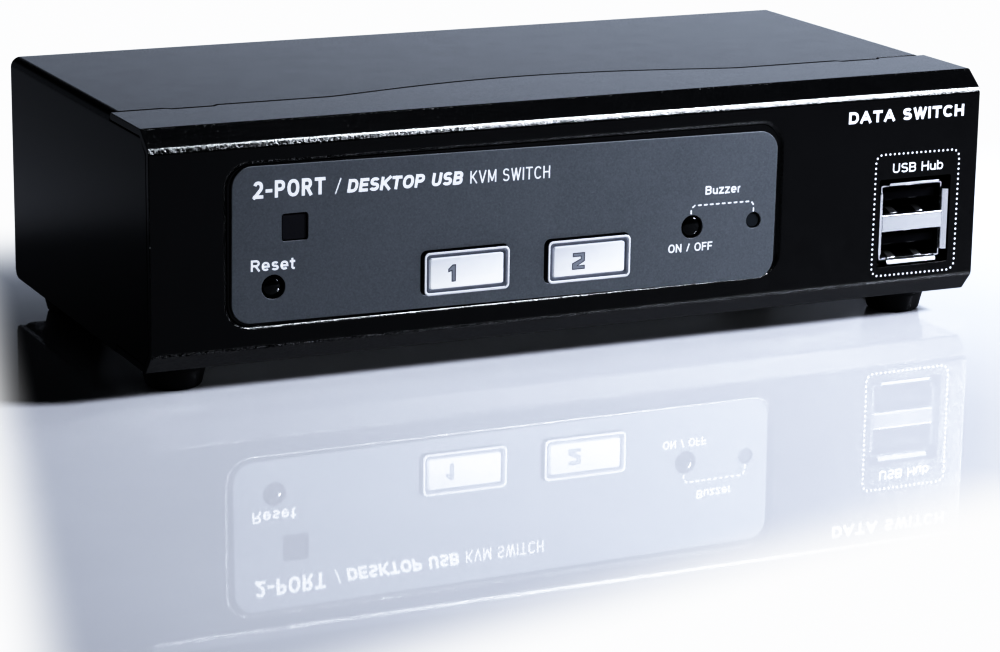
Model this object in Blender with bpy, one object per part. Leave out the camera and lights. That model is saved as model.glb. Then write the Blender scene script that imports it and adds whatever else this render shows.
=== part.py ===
"""Two-port desktop KVM switch: a folded steel case with a debossed front, four
push buttons, a double USB socket in front, the connectors behind and the two
boards inside.

The frame: +Z up, the floor at z = 0, the front faces -Y, the origin is the
middle of the footprint. Left is -X. Dimensions are in millimetres; the objects
are built in metres.
"""

import math

import bmesh
import bpy
from mathutils import Matrix, Vector

MM = 0.001

# ------------------------------------------------------------------------ case
CASE_W = 162.4
CASE_D = 78.0           # face to rear
CASE_H = 41.9           # without the feet
FOOT_H = 4.6
BUTTON_PROUD = 1.0      # select buttons stand this far out of the face
VGA_PROUD = 6.0         # D-sub shells stand this far out of the rear

FRONT = -(CASE_D + VGA_PROUD - BUTTON_PROUD) / 2   # y of the face
REAR = FRONT + CASE_D                              # y of the cover's rear edge
WALL_Y = REAR - 0.2                                # outer side of the rear wall
BOTTOM = FOOT_H
TOP = FOOT_H + CASE_H
HALF_W = CASE_W / 2

SHEET = 1.0             # cover and chassis sheet
SKIN = 1.2              # front bezel sheet
GAP = 0.3               # clearance between neighbouring pieces
CLEAR = 1.0             # cutting solids run this far past what they cut

WALL_TOP = TOP - SHEET - GAP                # top of the rear wall
CHASSIS_HALF_W = HALF_W - SHEET - GAP

# --------------------------------------------------------------- front controls
FILM_X, FILM_Z = -14.2, 25.45               # centre of the recess and its film

BUTTON_W, BUTTON_H, BUTTON_R = 16.0, 7.6, 0.9
BUTTON_X = (-23.5, 0.25)
BUTTON_Z = 18.4
BUTTON_HOLE = 0.4                           # gap round a select button

RESET_X, RESET_Z = -59.2, 18.4
BUZZER_X, BUZZER_Z = 21.2, 22.1
PLUNGER_R = 1.8
PLUNGER_HOLE_R = 2.15

SENSOR_X, SENSOR_Z = -55.25, 28.55
SENSOR_SIZE, SENSOR_R = 4.4, 0.4
LAMP_X, LAMP_Z, LAMP_R = 33.8, 22.3, 1.3

FRONT_USB_X, FRONT_USB_Z = 68.0, 19.1       # centre of the double socket

# ---------------------------------------------------------------------- boards
PCB_Z = 10.0            # underside of the main board
PCB_T = 1.6
PCB_TOP = PCB_Z + PCB_T
FRONT_PCB_Y = 14.0      # front board, behind the face
PART_BACK = FRONT_PCB_Y - 0.2               # rear of the parts on its front
BOSS_X, BOSS_Y = 70.0, 34.0                 # board screws: +-x, behind the face

# -------------------------------------------------------------- rear connectors
SOCKET_Z = PCB_TOP + GAP                    # underside of the sockets
VGA_X = {"console": 34.5, "pc2": -14.5, "pc1": -63.0}
USB_B_X = {"pc2": 9.5, "pc1": -39.5}
VGA_Z = PCB_TOP + 7.2
VGA_PITCH = 24.99                           # between the two jackscrews
DSUB_W, DSUB_H = 16.9, 8.9                  # outside of the D-shaped shell
DSUB_TAPER = 1.0                            # each lower corner is this far in
DSUB_R = 1.9
USB_B_W, USB_B_H = 12.0, 10.9
USB_B_Z = SOCKET_Z + USB_B_H / 2
CONSOLE_USB_X, CONSOLE_USB_Z = 58.5, SOCKET_Z + 7.1
DC_X = 72.5
DC_W, DC_H = 9.0, 11.0
COVER_SCREW_X = 52.0                        # +-x
COVER_SCREW_Z = WALL_TOP - 4.6

RETURN_Y = 18.0         # the bezel's bottom return ends here, behind the face


# --------------------------------------------------------------------- outlines
def behind(distance):
    """A distance behind the front face as a y coordinate."""
    return FRONT + distance


def rectangle(a0, a1, b0, b1):
    return [(a0, b0), (a1, b0), (a1, b1), (a0, b1)]


def rounded_rect(cx, cy, width, height, radius, steps=4):
    """Corner-rounded rectangle as a list of 2-D points, counter-clockwise."""
    points = []
    for side_x, side_y, start in ((1, -1, -90), (1, 1, 0), (-1, 1, 90), (-1, -1, 180)):
        corner_x = cx + side_x * (width / 2 - radius)
        corner_y = cy + side_y * (height / 2 - radius)
        for i in range(steps + 1):
            angle = math.radians(start + 90.0 * i / steps)
            points.append(
                (corner_x + radius * math.cos(angle), corner_y + radius * math.sin(angle))
            )
    return points


def circle(cx, cy, radius, steps):
    angles = [2 * math.pi * i / steps for i in range(steps)]
    return [(cx + radius * math.cos(a), cy + radius * math.sin(a)) for a in angles]


def corner_arc(before, corner, after, radius, steps):
    """Points of the arc that rounds a corner between its two neighbours."""
    corner = Vector(corner)
    back = (Vector(before) - corner).normalized()
    ahead = (Vector(after) - corner).normalized()
    angle = back.angle(ahead)
    cut = radius / math.tan(angle / 2)
    centre = corner + (back + ahead).normalized() * (radius / math.sin(angle / 2))
    start = corner + back * cut - centre
    end = corner + ahead * cut - centre
    return [
        tuple(centre + start.slerp(end, k / steps).normalized() * radius)
        for k in range(steps + 1)
    ]


def rounded_path(points, radii, steps):
    """Rounds the inner corners of an open 2-D path, one radius for each."""
    out = [points[0]]
    for before, corner, after, radius in zip(points, points[1:], points[2:], radii):
        out += corner_arc(before, corner, after, radius, steps)
    out.append(points[-1])
    return out


def offset_path(points, distance):
    """Parallel copy of an open 2-D path, to its right, with mitred corners."""
    vectors = [Vector(p) for p in points]
    out = []
    for i, point in enumerate(vectors):
        normals = []
        for neighbour, sign in ((i - 1, 1), (i + 1, -1)):
            if 0 <= neighbour < len(vectors):
                along = (point - vectors[neighbour]).normalized() * sign
                normals.append(Vector((along.y, -along.x)))
        if len(normals) == 1:
            out.append(tuple(point + normals[0] * distance))
        else:
            middle = (normals[0] + normals[1]).normalized()
            out.append(tuple(point + middle * (distance / middle.dot(normals[0]))))
    return out


def dsub_outline(x, grow, radius):
    """D-shaped outline, wider on top; grow widens the shell's outside."""
    half_w, half_h = (DSUB_W + grow) / 2, (DSUB_H + grow) / 2
    corners = [
        (x - half_w + DSUB_TAPER, VGA_Z - half_h),
        (x + half_w - DSUB_TAPER, VGA_Z - half_h),
        (x + half_w, VGA_Z + half_h),
        (x - half_w, VGA_Z + half_h),
    ]
    out = []
    for i, corner in enumerate(corners):
        out += corner_arc(corners[i - 1], corner, corners[(i + 1) % 4], radius, 4)
    return out


def button_outline(x, grow=0.0):
    """A select button's outline, grown on every side."""
    return rounded_rect(
        x, BUTTON_Z, BUTTON_W + 2 * grow, BUTTON_H + 2 * grow, BUTTON_R + grow
    )


# ----------------------------------------------------------------------- solids
# Places outline axes (a, b) and the height along each axis in x, y, z.
AXES = {
    "X": lambda a, b, height: (height, a, b),
    "Y": lambda a, b, height: (a, height, b),
    "Z": lambda a, b, height: (a, b, height),
}


def prism(points, axis, low, high):
    """Extrudes a 2-D outline along an axis. Outline axes: X (y, z), Y (x, z), Z (x, y)."""
    bm = bmesh.new()
    place = AXES[axis]
    base = bm.faces.new([bm.verts.new(place(a, b, low)) for a, b in points])
    grown = bmesh.ops.extrude_face_region(bm, geom=[base])
    moved = [g for g in grown["geom"] if isinstance(g, bmesh.types.BMVert)]
    bmesh.ops.translate(bm, vec=Vector(place(0, 0, high - low)), verts=moved)
    bmesh.ops.recalc_face_normals(bm, faces=bm.faces)
    return bm


def front_prism(points, near, far):
    """Extrudes an (x, z) outline between two distances behind the face."""
    return prism(points, "Y", behind(near), behind(far))


def rod(a, b, radius, steps, axis, low, high):
    return prism(circle(a, b, radius, steps), axis, low, high)


def box(x0, x1, y0, y1, z0, z1):
    return prism(rectangle(x0, x1, y0, y1), "Z", z0, z1)


def loft(rings):
    """Joins rings of equal length with quads, and caps the first and last."""
    bm = bmesh.new()
    loops = [[bm.verts.new(p) for p in ring] for ring in rings]
    count = len(loops[0])
    for low, high in zip(loops, loops[1:]):
        for i in range(count):
            after = (i + 1) % count
            bm.faces.new((low[i], low[after], high[after], high[i]))
    bm.faces.new(list(reversed(loops[0])))
    bm.faces.new(loops[-1])
    bmesh.ops.recalc_face_normals(bm, faces=bm.faces)
    return bm


def turned(profile, axis, centre, steps):
    """Solid of revolution. profile: (distance along the axis, radius), ends closed."""
    place = AXES[axis]
    return loft([
        [Vector(place(a, b, distance)) + Vector(centre) for a, b in circle(0, 0, radius, steps)]
        for distance, radius in profile
    ])


def joined(parts):
    """Several separate helper solids in one bmesh, for one Boolean."""
    out = bmesh.new()
    for bm in parts:
        mesh = bpy.data.meshes.new("part")
        bm.to_mesh(mesh)
        bm.free()
        out.from_mesh(mesh)
        bpy.data.meshes.remove(mesh)
    return out


# ---------------------------------------------------------------------- objects
def shade(mesh, angle=30.0):
    """Smooth shading with sharp edges above the angle."""
    mesh.shade_smooth()
    mesh.set_sharp_from_angle(angle=math.radians(angle))


def mesh_object(name, bm, mat, origin=(0.0, 0.0, 0.0), smooth_angle=30.0):
    """Makes the object in metres with its origin at the given point (mm)."""
    start = Vector(origin)
    bmesh.ops.transform(
        bm, matrix=Matrix.Scale(MM, 4) @ Matrix.Translation(-start), verts=bm.verts
    )
    mesh = bpy.data.meshes.new(name)
    bm.to_mesh(mesh)
    bm.free()
    obj = bpy.data.objects.new(name, mesh)
    obj.location = start * MM
    bpy.context.scene.collection.objects.link(obj)
    if mat is not None:
        mesh.materials.append(mat)
    shade(mesh, smooth_angle)
    return obj


def tidy(mesh):
    """Merges coincident points, drops degenerate edges and shades again."""
    tolerance = 1e-7
    bm = bmesh.new()
    bm.from_mesh(mesh)
    bmesh.ops.remove_doubles(bm, verts=bm.verts, dist=tolerance)
    bmesh.ops.dissolve_degenerate(bm, edges=bm.edges, dist=tolerance)
    bm.to_mesh(mesh)
    bm.free()
    shade(mesh)


def combine(obj, bm, operation="DIFFERENCE"):
    """Boolean with a helper solid, applied; the helper is removed again."""
    tool = mesh_object("helper", bm, None)
    tool.hide_render = True
    mod = obj.modifiers.new("cut", "BOOLEAN")
    mod.object = tool
    mod.operation = operation
    mod.solver = "EXACT"
    bpy.context.view_layer.update()
    graph = bpy.context.evaluated_depsgraph_get()
    mesh = bpy.data.meshes.new_from_object(obj.evaluated_get(graph))
    obj.modifiers.remove(mod)
    old = obj.data
    obj.data = mesh
    bpy.data.meshes.remove(old)
    bpy.data.objects.remove(tool, do_unlink=True)
    mesh.name = obj.name
    tidy(mesh)


def bevel(obj, width):
    mod = obj.modifiers.new("edge", "BEVEL")
    mod.width = width * MM
    mod.segments = 1
    mod.limit_method = "ANGLE"
    mod.angle_limit = math.radians(40.0)


# -------------------------------------------------------------------- materials
def linear(channel):
    """An 8-bit sRGB channel as a linear value."""
    c = channel / 255.0
    return c / 12.92 if c <= 0.04045 else ((c + 0.055) / 1.055) ** 2.4


def material(name, rgb, roughness, metallic=0.0):
    mat = bpy.data.materials.new(name)
    mat.use_nodes = True
    bsdf = mat.node_tree.nodes["Principled BSDF"]
    colour = (*(linear(channel) for channel in rgb), 1.0)
    bsdf.inputs["Base Color"].default_value = colour
    bsdf.inputs["Roughness"].default_value = roughness
    bsdf.inputs["Metallic"].default_value = metallic
    mat.diffuse_color = colour
    return mat


for scene_object in list(bpy.data.objects):
    bpy.data.objects.remove(scene_object, do_unlink=True)

BLACK_PAINT = material("black_powder_coat", rgb=(17, 17, 20), roughness=0.38)
COVER_PAINT = material("cover_powder_coat", rgb=(20, 21, 24), roughness=0.42)
CHASSIS_PAINT = material("chassis_powder_coat", rgb=(16, 16, 18), roughness=0.45)
OVERLAY_GREY = material("overlay_grey", rgb=(70, 77, 88), roughness=0.5)
SMOKE = material("smoked_window", rgb=(18, 19, 23), roughness=0.2)
BUTTON_RIM = material("button_rim", rgb=(205, 208, 214), roughness=0.25, metallic=0.6)
BUTTON_WHITE = material("button_white", rgb=(233, 237, 246), roughness=0.35)
BLACK_PLASTIC = material("black_plastic", rgb=(12, 12, 13), roughness=0.3)
NICKEL = material("nickel", rgb=(200, 202, 206), roughness=0.2, metallic=1.0)
ZINC = material("zinc", rgb=(170, 172, 176), roughness=0.35, metallic=1.0)
RUBBER = material("rubber", rgb=(22, 22, 23), roughness=0.85)
BOARD = material("board_green", rgb=(20, 82, 46), roughness=0.45)
CHIP = material("chip_black", rgb=(26, 26, 28), roughness=0.55)
BLUE_PLASTIC = material("blue_plastic", rgb=(22, 52, 140), roughness=0.4)
WHITE_PLASTIC = material("white_plastic", rgb=(214, 214, 208), roughness=0.45)
LAMP_CLEAR = material("lamp_clear", rgb=(206, 222, 236), roughness=0.2)
CAN = material("can_aluminium", rgb=(176, 178, 182), roughness=0.3, metallic=1.0)


# ---------------------------------------------------------------- the top seam
SEAM_BACK = 20.0        # seam distance behind the face, at the ends
SEAM_BOW = 6.3          # how far the seam bows back in the middle
SEAM_HALF = 41.0        # half length of the bowed part
SEAM_STEPS = 24
SEAM_GAP = 0.5
SEAM_END = HALF_W + 5.0                     # the line runs past the sides
TAB_X, TAB_W, TAB_D = 66.5, 9.5, 0.9        # the cover's tabs: +-x, width, reach


def seam_line(shift):
    """The seam as points from left to right, tabs included, shifted along y."""

    def tab(middle):
        half = TAB_W / 2
        steps = ((-half, 0.0), (-half + TAB_D, TAB_D), (half - TAB_D, TAB_D), (half, 0.0))
        return [(middle + dx, behind(SEAM_BACK - reach + shift)) for dx, reach in steps]

    bow = []
    for i in range(SEAM_STEPS + 1):
        x = -SEAM_HALF + 2 * SEAM_HALF * i / SEAM_STEPS
        rise = max(1.0 - (x / SEAM_HALF) ** 2, 0.0)
        bow.append((x, behind(SEAM_BACK + SEAM_BOW * rise**1.25 + shift)))
    end_y = behind(SEAM_BACK + shift)
    return [(-SEAM_END, end_y), *tab(-TAB_X), *bow, *tab(TAB_X), (SEAM_END, end_y)]


# ----------------------------------------------------------------- front bezel
CHAMFER_TOP_Z, CHAMFER_TOP_Y = 3.1, 3.95
CHAMFER_LOW_Z, CHAMFER_LOW_Y = 3.5, 2.95
EDGE_R = 1.1            # folds at the face
CHAMFER_R = 0.8         # folds behind the chamfers
RECESS_W, RECESS_H, RECESS_R = 106.4, 28.7, 4.0
RECESS_DEPTH = 0.55
RECESS_DRAFT = 0.35     # outward lean of each wall over the depth
USB_CUTOUT_W, USB_CUTOUT_H = 15.3, 16.6

# Section (y, z) from the rear of the bottom return round the face to the top.
BEZEL_PATH = [
    (behind(RETURN_Y), BOTTOM),
    (behind(CHAMFER_LOW_Y), BOTTOM),
    (behind(0.0), BOTTOM + CHAMFER_LOW_Z),
    (behind(0.0), TOP - CHAMFER_TOP_Z),
    (behind(CHAMFER_TOP_Y), TOP),
    (behind(30.0), TOP),
]


def control_openings(window_gap, near, far):
    """Holes for the select buttons, the two windows and the two plungers."""
    size = SENSOR_SIZE + 2 * window_gap
    sensor = rounded_rect(SENSOR_X, SENSOR_Z, size, size, SENSOR_R + 0.2, 3)
    outlines = [button_outline(x, BUTTON_HOLE) for x in BUTTON_X]
    outlines += [
        sensor,
        circle(LAMP_X, LAMP_Z, LAMP_R + window_gap, 16),
        circle(RESET_X, RESET_Z, PLUNGER_HOLE_R, 24),
        circle(BUZZER_X, BUZZER_Z, PLUNGER_HOLE_R, 24),
    ]
    return [front_prism(outline, near, far) for outline in outlines]


def make_bezel():
    outer = rounded_path(BEZEL_PATH, (CHAMFER_R, EDGE_R, EDGE_R, CHAMFER_R), 3)
    inner = offset_path(BEZEL_PATH, SKIN)
    section = outer + list(reversed(inner))
    obj = mesh_object("front_bezel", prism(section, "X", -HALF_W, HALF_W), BLACK_PAINT)
    # the strip on top ends at the seam
    back = [(SEAM_END, behind(40)), (-SEAM_END, behind(40))]
    combine(obj, prism(seam_line(-SEAM_GAP / 2) + back, "Z", TOP - 3.0, TOP + CLEAR))
    # the recess for the film; its drafted walls run on in front of the face
    ahead = 0.6
    rings = []
    for y, grow in ((-ahead, 2 * RECESS_DRAFT * (1 + ahead / RECESS_DEPTH)), (RECESS_DEPTH, 0.0)):
        ring = rounded_rect(
            FILM_X, FILM_Z, RECESS_W + grow, RECESS_H + grow, RECESS_R + grow / 2, 6
        )
        rings.append([(x, behind(y), z) for x, z in ring])
    combine(obj, loft(rings))
    # openings through the face
    near, far = -CLEAR, 3.0
    usb = rounded_rect(FRONT_USB_X, FRONT_USB_Z + 0.2, USB_CUTOUT_W, USB_CUTOUT_H, 0.4, 2)
    combine(obj, joined(control_openings(0.25, near, far) + [front_prism(usb, near, far)]))


# ------------------------------------------------------------------- top cover
BEND_R = 1.9            # side bends
CORNER_CUT, CORNER_MID = 1.6, 0.5           # the sides' lower rear corners


def make_cover():
    """The cover's top runs forward to the seam, its sides on to the face."""
    fold = [(-HALF_W, BOTTOM), (-HALF_W, TOP), (HALF_W, TOP), (HALF_W, BOTTOM)]
    outer = rounded_path(fold, (BEND_R, BEND_R), 6)
    inner = rounded_path(offset_path(fold, SHEET), (BEND_R - SHEET, BEND_R - SHEET), 4)
    section = outer + list(reversed(inner))
    obj = mesh_object(
        "top_cover", prism(section, "Y", behind(SKIN + GAP), REAR), COVER_PAINT
    )
    # side view (y, z): the front edge follows the bezel, and the lower rear is cut
    follow = offset_path(BEZEL_PATH, SKIN + GAP)
    outline = [
        (behind(RETURN_Y + GAP), BOTTOM + SKIN + GAP),
        *follow[1:4],
        (behind(CHAMFER_TOP_Y + 0.6), TOP - 1.0),
        (behind(CHAMFER_TOP_Y + 3.0), TOP + CLEAR),
        (REAR + CLEAR, TOP + CLEAR),
        (REAR + CLEAR, BOTTOM + CORNER_CUT),
        (REAR, BOTTOM + CORNER_CUT),
        (REAR - CORNER_MID, BOTTOM + CORNER_MID),
        (REAR - CORNER_CUT, BOTTOM),
        (REAR - CORNER_CUT, BOTTOM - CLEAR),
        (behind(RETURN_Y + GAP), BOTTOM - CLEAR),
    ]
    combine(obj, prism(outline, "X", -HALF_W - 2, HALF_W + 2), "INTERSECT")
    # clear the bezel's top strip in front of the seam
    front = [(SEAM_END, behind(-2)), (-SEAM_END, behind(-2))]
    strip = prism(seam_line(SEAM_GAP / 2) + front, "Z", TOP - SKIN - GAP, TOP + 2.0)
    combine(obj, strip)


# ---------------------------------------------------------------- base chassis
LIP_H = 9.0             # side lips
CHASSIS_BEND_R = 1.4
WALL_CORNER_R = 2.6
FLANGE_INSET, FLANGE_D = 6.0, 7.0           # from the sides; reach forward
BOSS_R, BOSS_HOLE_R = 3.2, 1.3
JACK_HOLE_R, COVER_HOLE_R = 1.7, 1.75
# rear cutouts: width, height
USB_B_CUTOUT = (12.8, 11.6)
CONSOLE_USB_CUTOUT = (14.0, 15.2)
DC_CUTOUT = (DC_W + 0.8, DC_H + 0.8)


def make_chassis():
    w = CHASSIS_HALF_W
    # folded tray of bottom and side lips
    tray = [(-w, BOTTOM + LIP_H), (-w, BOTTOM), (w, BOTTOM), (w, BOTTOM + LIP_H)]
    outer = rounded_path(tray, (CHASSIS_BEND_R, CHASSIS_BEND_R), 3)
    inner_r = CHASSIS_BEND_R - SHEET
    inner = rounded_path(offset_path(tray, -SHEET), (inner_r, inner_r), 2)
    section = outer + list(reversed(inner))
    obj = mesh_object(
        "base_chassis", prism(section, "Y", behind(RETURN_Y + GAP), WALL_Y), CHASSIS_PAINT
    )
    # rear wall, a hair inside the lips
    v = w - 0.01
    low = BOTTOM + 0.4
    wall = rounded_path(
        [(-v, low), (-v, WALL_TOP), (v, WALL_TOP), (v, low)], (WALL_CORNER_R, WALL_CORNER_R), 4
    )
    combine(obj, prism(wall, "Y", WALL_Y - SHEET, WALL_Y), "UNION")
    # flange forward at the top of the rear wall
    flange = box(
        -w + FLANGE_INSET, w - FLANGE_INSET, WALL_Y - FLANGE_D, WALL_Y - 0.3,
        WALL_TOP - SHEET, WALL_TOP,
    )
    combine(obj, flange, "UNION")
    # bosses under the main board
    boss_y = behind(BOSS_Y)
    combine(
        obj,
        joined([
            rod(x, boss_y, BOSS_R, 16, "Z", BOTTOM + 0.5, PCB_Z - GAP)
            for x in (-BOSS_X, BOSS_X)
        ]),
        "UNION",
    )
    # connector cutouts in the rear wall
    through = ("Y", WALL_Y - SHEET - CLEAR, WALL_Y + CLEAR)
    cuts = []
    for x in VGA_X.values():
        cuts.append(prism(dsub_outline(x, 0.7, DSUB_R), *through))
        for side in (-1, 1):
            cuts.append(rod(x + side * VGA_PITCH / 2, VGA_Z, JACK_HOLE_R, 12, *through))
    for x, z, size in (
        *((x, USB_B_Z, USB_B_CUTOUT) for x in USB_B_X.values()),
        (CONSOLE_USB_X, CONSOLE_USB_Z, CONSOLE_USB_CUTOUT),
        (DC_X, SOCKET_Z + DC_H / 2, DC_CUTOUT),
    ):
        cuts.append(prism(rounded_rect(x, z, *size, 0.3, 2), *through))
    combine(obj, joined(cuts))
    # screw holes in the bosses and for the cover
    holes = [
        rod(x, boss_y, BOSS_HOLE_R, 12, "Z", BOTTOM + 2.6, PCB_Z + CLEAR)
        for x in (-BOSS_X, BOSS_X)
    ]
    for x in (-COVER_SCREW_X, COVER_SCREW_X):
        holes.append(rod(x, COVER_SCREW_Z, COVER_HOLE_R, 12, *through))
    combine(obj, joined(holes))


# ------------------------------------------------------------ film and windows
OVERLAY_W, OVERLAY_H, OVERLAY_R = 105.0, 27.2, 3.6
OVERLAY_T = 0.25
OVERLAY_BACK = RECESS_DEPTH - 0.12          # rear side, behind the face
OVERLAY_TURN = math.radians(0.57)           # the film lies a little out of square
WINDOW_FRONT, WINDOW_BACK = 0.25, 2.2


def make_overlay():
    cos, sin = math.cos(-OVERLAY_TURN), math.sin(-OVERLAY_TURN)
    outline = []
    for x, z in rounded_rect(FILM_X, FILM_Z, OVERLAY_W, OVERLAY_H, OVERLAY_R, 6):
        dx, dz = x - FILM_X, z - FILM_Z
        outline.append((FILM_X + dx * cos - dz * sin, FILM_Z + dx * sin + dz * cos))
    near = OVERLAY_BACK - OVERLAY_T
    obj = mesh_object("front_overlay", front_prism(outline, near, OVERLAY_BACK), OVERLAY_GREY)
    combine(obj, joined(control_openings(0.2, near - 0.5, OVERLAY_BACK + 0.5)))


def make_windows():
    sensor = rounded_rect(SENSOR_X, SENSOR_Z, SENSOR_SIZE, SENSOR_SIZE, SENSOR_R, 3)
    lamp = circle(LAMP_X, LAMP_Z, LAMP_R, 16)
    for name, outline in (("sensor_window", sensor), ("buzzer_lamp_window", lamp)):
        mesh_object(name, front_prism(outline, WINDOW_FRONT, WINDOW_BACK), SMOKE)


# --------------------------------------------------------------------- buttons
PLATE_W, PLATE_H = 14.0, 5.5    # white plate in each select button
POCKET_GAP = 0.2                # clearance round the plate
POCKET_DEPTH = 1.3
PLATE_FRONT, PLATE_BACK = 0.15, 1.1     # behind the button's front
RIM_CHAMFER = 0.2
BUTTON_BACK = 4.0
FLANGE_WIDER, FLANGE_T = 2.4, 1.1       # button flange behind the bezel
STEM_W, STEM_H, STEM_BACK = 4.4, 3.2, 8.2


def make_select_button(number, x):
    origin = (x, FRONT, BUTTON_Z)
    front = -BUTTON_PROUD

    def bar(width, height, radius, near, far):
        return front_prism(rounded_rect(x, BUTTON_Z, width, height, radius, 2), near, far)

    # frame: body, rear flange, and a pocket for the plate
    rings = [
        [(px, behind(y), pz) for px, pz in button_outline(x, grow)]
        for y, grow in ((front, -RIM_CHAMFER), (front + RIM_CHAMFER, 0.0), (BUTTON_BACK, 0.0))
    ]
    frame = mesh_object(f"select_button_{number}", loft(rings), BUTTON_RIM, origin)
    seat = SKIN + GAP
    flange = bar(BUTTON_W + FLANGE_WIDER, BUTTON_H + FLANGE_WIDER, 1.2, seat, seat + FLANGE_T)
    combine(frame, flange, "UNION")
    pocket = bar(
        PLATE_W + 2 * POCKET_GAP, PLATE_H + 2 * POCKET_GAP, 0.5,
        front - CLEAR, front + POCKET_DEPTH,
    )
    combine(frame, pocket)
    plate = bar(PLATE_W, PLATE_H, 0.4, front + PLATE_FRONT, front + PLATE_BACK)
    mesh_object(f"select_face_{number}", plate, BUTTON_WHITE, origin)
    stem = bar(STEM_W, STEM_H, 0.5, BUTTON_BACK + 0.2, STEM_BACK)
    mesh_object(f"select_stem_{number}", stem, WHITE_PLASTIC, origin)


def make_tact_switch(name, x, z, tip):
    """Square body on the front board with a short round plunger ending at tip."""
    half, front, plunger_r = 3.0, 10.2, 1.7
    body = front_prism(
        rectangle(x - half, x + half, z - half, z + half), front, FRONT_PCB_Y - GAP
    )
    obj = mesh_object(name, body, BLACK_PLASTIC)
    # the union bakes this bevel into the mesh and leaves the modifier on as well
    bevel(obj, 0.25)
    combine(obj, front_prism(circle(x, z, plunger_r, 16), tip, front + 0.4), "UNION")


def make_plunger(name, x, z, dome):
    """Round button with a domed front of the given height and a thinner stem."""
    tip, tip_r, dome_steps = 0.05, 0.35, 4
    shoulder, stem_r, stem_back = 3.4, 1.45, 9.0
    profile = []
    for i in range(dome_steps + 1):
        angle = math.pi / 2 * i / dome_steps
        profile.append(
            (tip + dome * (1 - math.cos(angle)), max(PLUNGER_R * math.sin(angle), tip_r))
        )
    profile += [(shoulder, PLUNGER_R), (shoulder, stem_r), (stem_back, stem_r)]
    origin = (x, FRONT, z)
    mesh_object(name, turned(profile, "Y", origin, 24), BLACK_PLASTIC, origin, smooth_angle=40.0)


# ---------------------------------------------------------------- USB sockets
USB_SLOT_W, USB_SLOT_H = 12.5, 5.1
USB_BAR = 3.35                  # metal between the two slots
USB_WALL = 0.3
USB_DEPTH = 17.0
SIDE_FLARE, SIDE_LIP_HALF = 1.15, 5.75      # lip reach and half length
TOP_FLARE, TOP_LIP_HALF = 0.95, 5.3
TONGUE_T, TONGUE_DROP = 1.9, 0.85           # drop: below the top of its slot
TONGUE_FRONT, WEB_FRONT = 2.0, 1.1
CORE_BLOCK = 13.0               # front of the core's rear block
CORE_HALF_W = 5.6


def usb_a_stack(name, x, z, mouth_y, inward, plastic):
    """Double USB-A socket. inward +1: the slots face -Y (front), -1: they face +Y."""

    def into(depth):
        return mouth_y + inward * depth

    def span(near, far):
        return sorted((into(near), into(far)))

    in_w, in_h = USB_SLOT_W, 2 * USB_SLOT_H + USB_BAR
    outside = rounded_rect(x, z, in_w + 2 * USB_WALL, in_h + 2 * USB_WALL, 0.35, 2)
    shell = mesh_object(
        f"{name}_usb_shell", prism(outside, "Y", *span(0.0, USB_DEPTH)), NICKEL
    )
    inside = rounded_rect(x, z, in_w, in_h, 0.12, 1)
    combine(shell, prism(inside, "Y", *span(-CLEAR, USB_DEPTH + CLEAR)))
    # the folded bar between the slots
    bar_half = in_w / 2 + 0.15
    bar = box(x - bar_half, x + bar_half, *span(0.0, 0.7), z - USB_BAR / 2, z + USB_BAR / 2)
    combine(shell, bar, "UNION")

    # flared lips round the mouth
    def lip(flare):
        """Section: (depth, distance outward from the inside wall)."""
        root = USB_WALL + 0.06
        return [
            (0.6, 0.02), (-0.05, 0.02), (-0.75, flare),
            (-0.40, flare), (0.25, root), (0.6, root),
        ]

    for side in (-1, 1):
        outline = [(x + side * (in_w / 2 + out), into(depth)) for depth, out in lip(SIDE_FLARE)]
        combine(shell, prism(outline, "Z", z - SIDE_LIP_HALF, z + SIDE_LIP_HALF), "UNION")
        outline = [(into(depth), z + side * (in_h / 2 + out)) for depth, out in lip(TOP_FLARE)]
        combine(shell, prism(outline, "X", x - TOP_LIP_HALF, x + TOP_LIP_HALF), "UNION")
    # core: rear block with a middle web and two tongues, an E on its side
    half = in_h / 2 - 0.25
    upper = USB_BAR / 2 + USB_SLOT_H - TONGUE_DROP      # top of each tongue
    lower = -USB_BAR / 2 - TONGUE_DROP
    web = USB_BAR / 2 - 0.2
    back = USB_DEPTH - 0.3
    section = [                                         # depth, height from z
        (CORE_BLOCK, -half),
        (CORE_BLOCK, lower - TONGUE_T), (TONGUE_FRONT, lower - TONGUE_T),
        (TONGUE_FRONT, lower), (CORE_BLOCK, lower),
        (CORE_BLOCK, -web), (WEB_FRONT, -web), (WEB_FRONT, web), (CORE_BLOCK, web),
        (CORE_BLOCK, upper - TONGUE_T), (TONGUE_FRONT, upper - TONGUE_T),
        (TONGUE_FRONT, upper), (CORE_BLOCK, upper),
        (CORE_BLOCK, half), (back, half), (back, -half),
    ]
    outline = [(into(depth), z + height) for depth, height in section]
    core = prism(outline, "X", x - CORE_HALF_W, x + CORE_HALF_W)
    mesh_object(f"{name}_usb_insulator", core, plastic)


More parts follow.
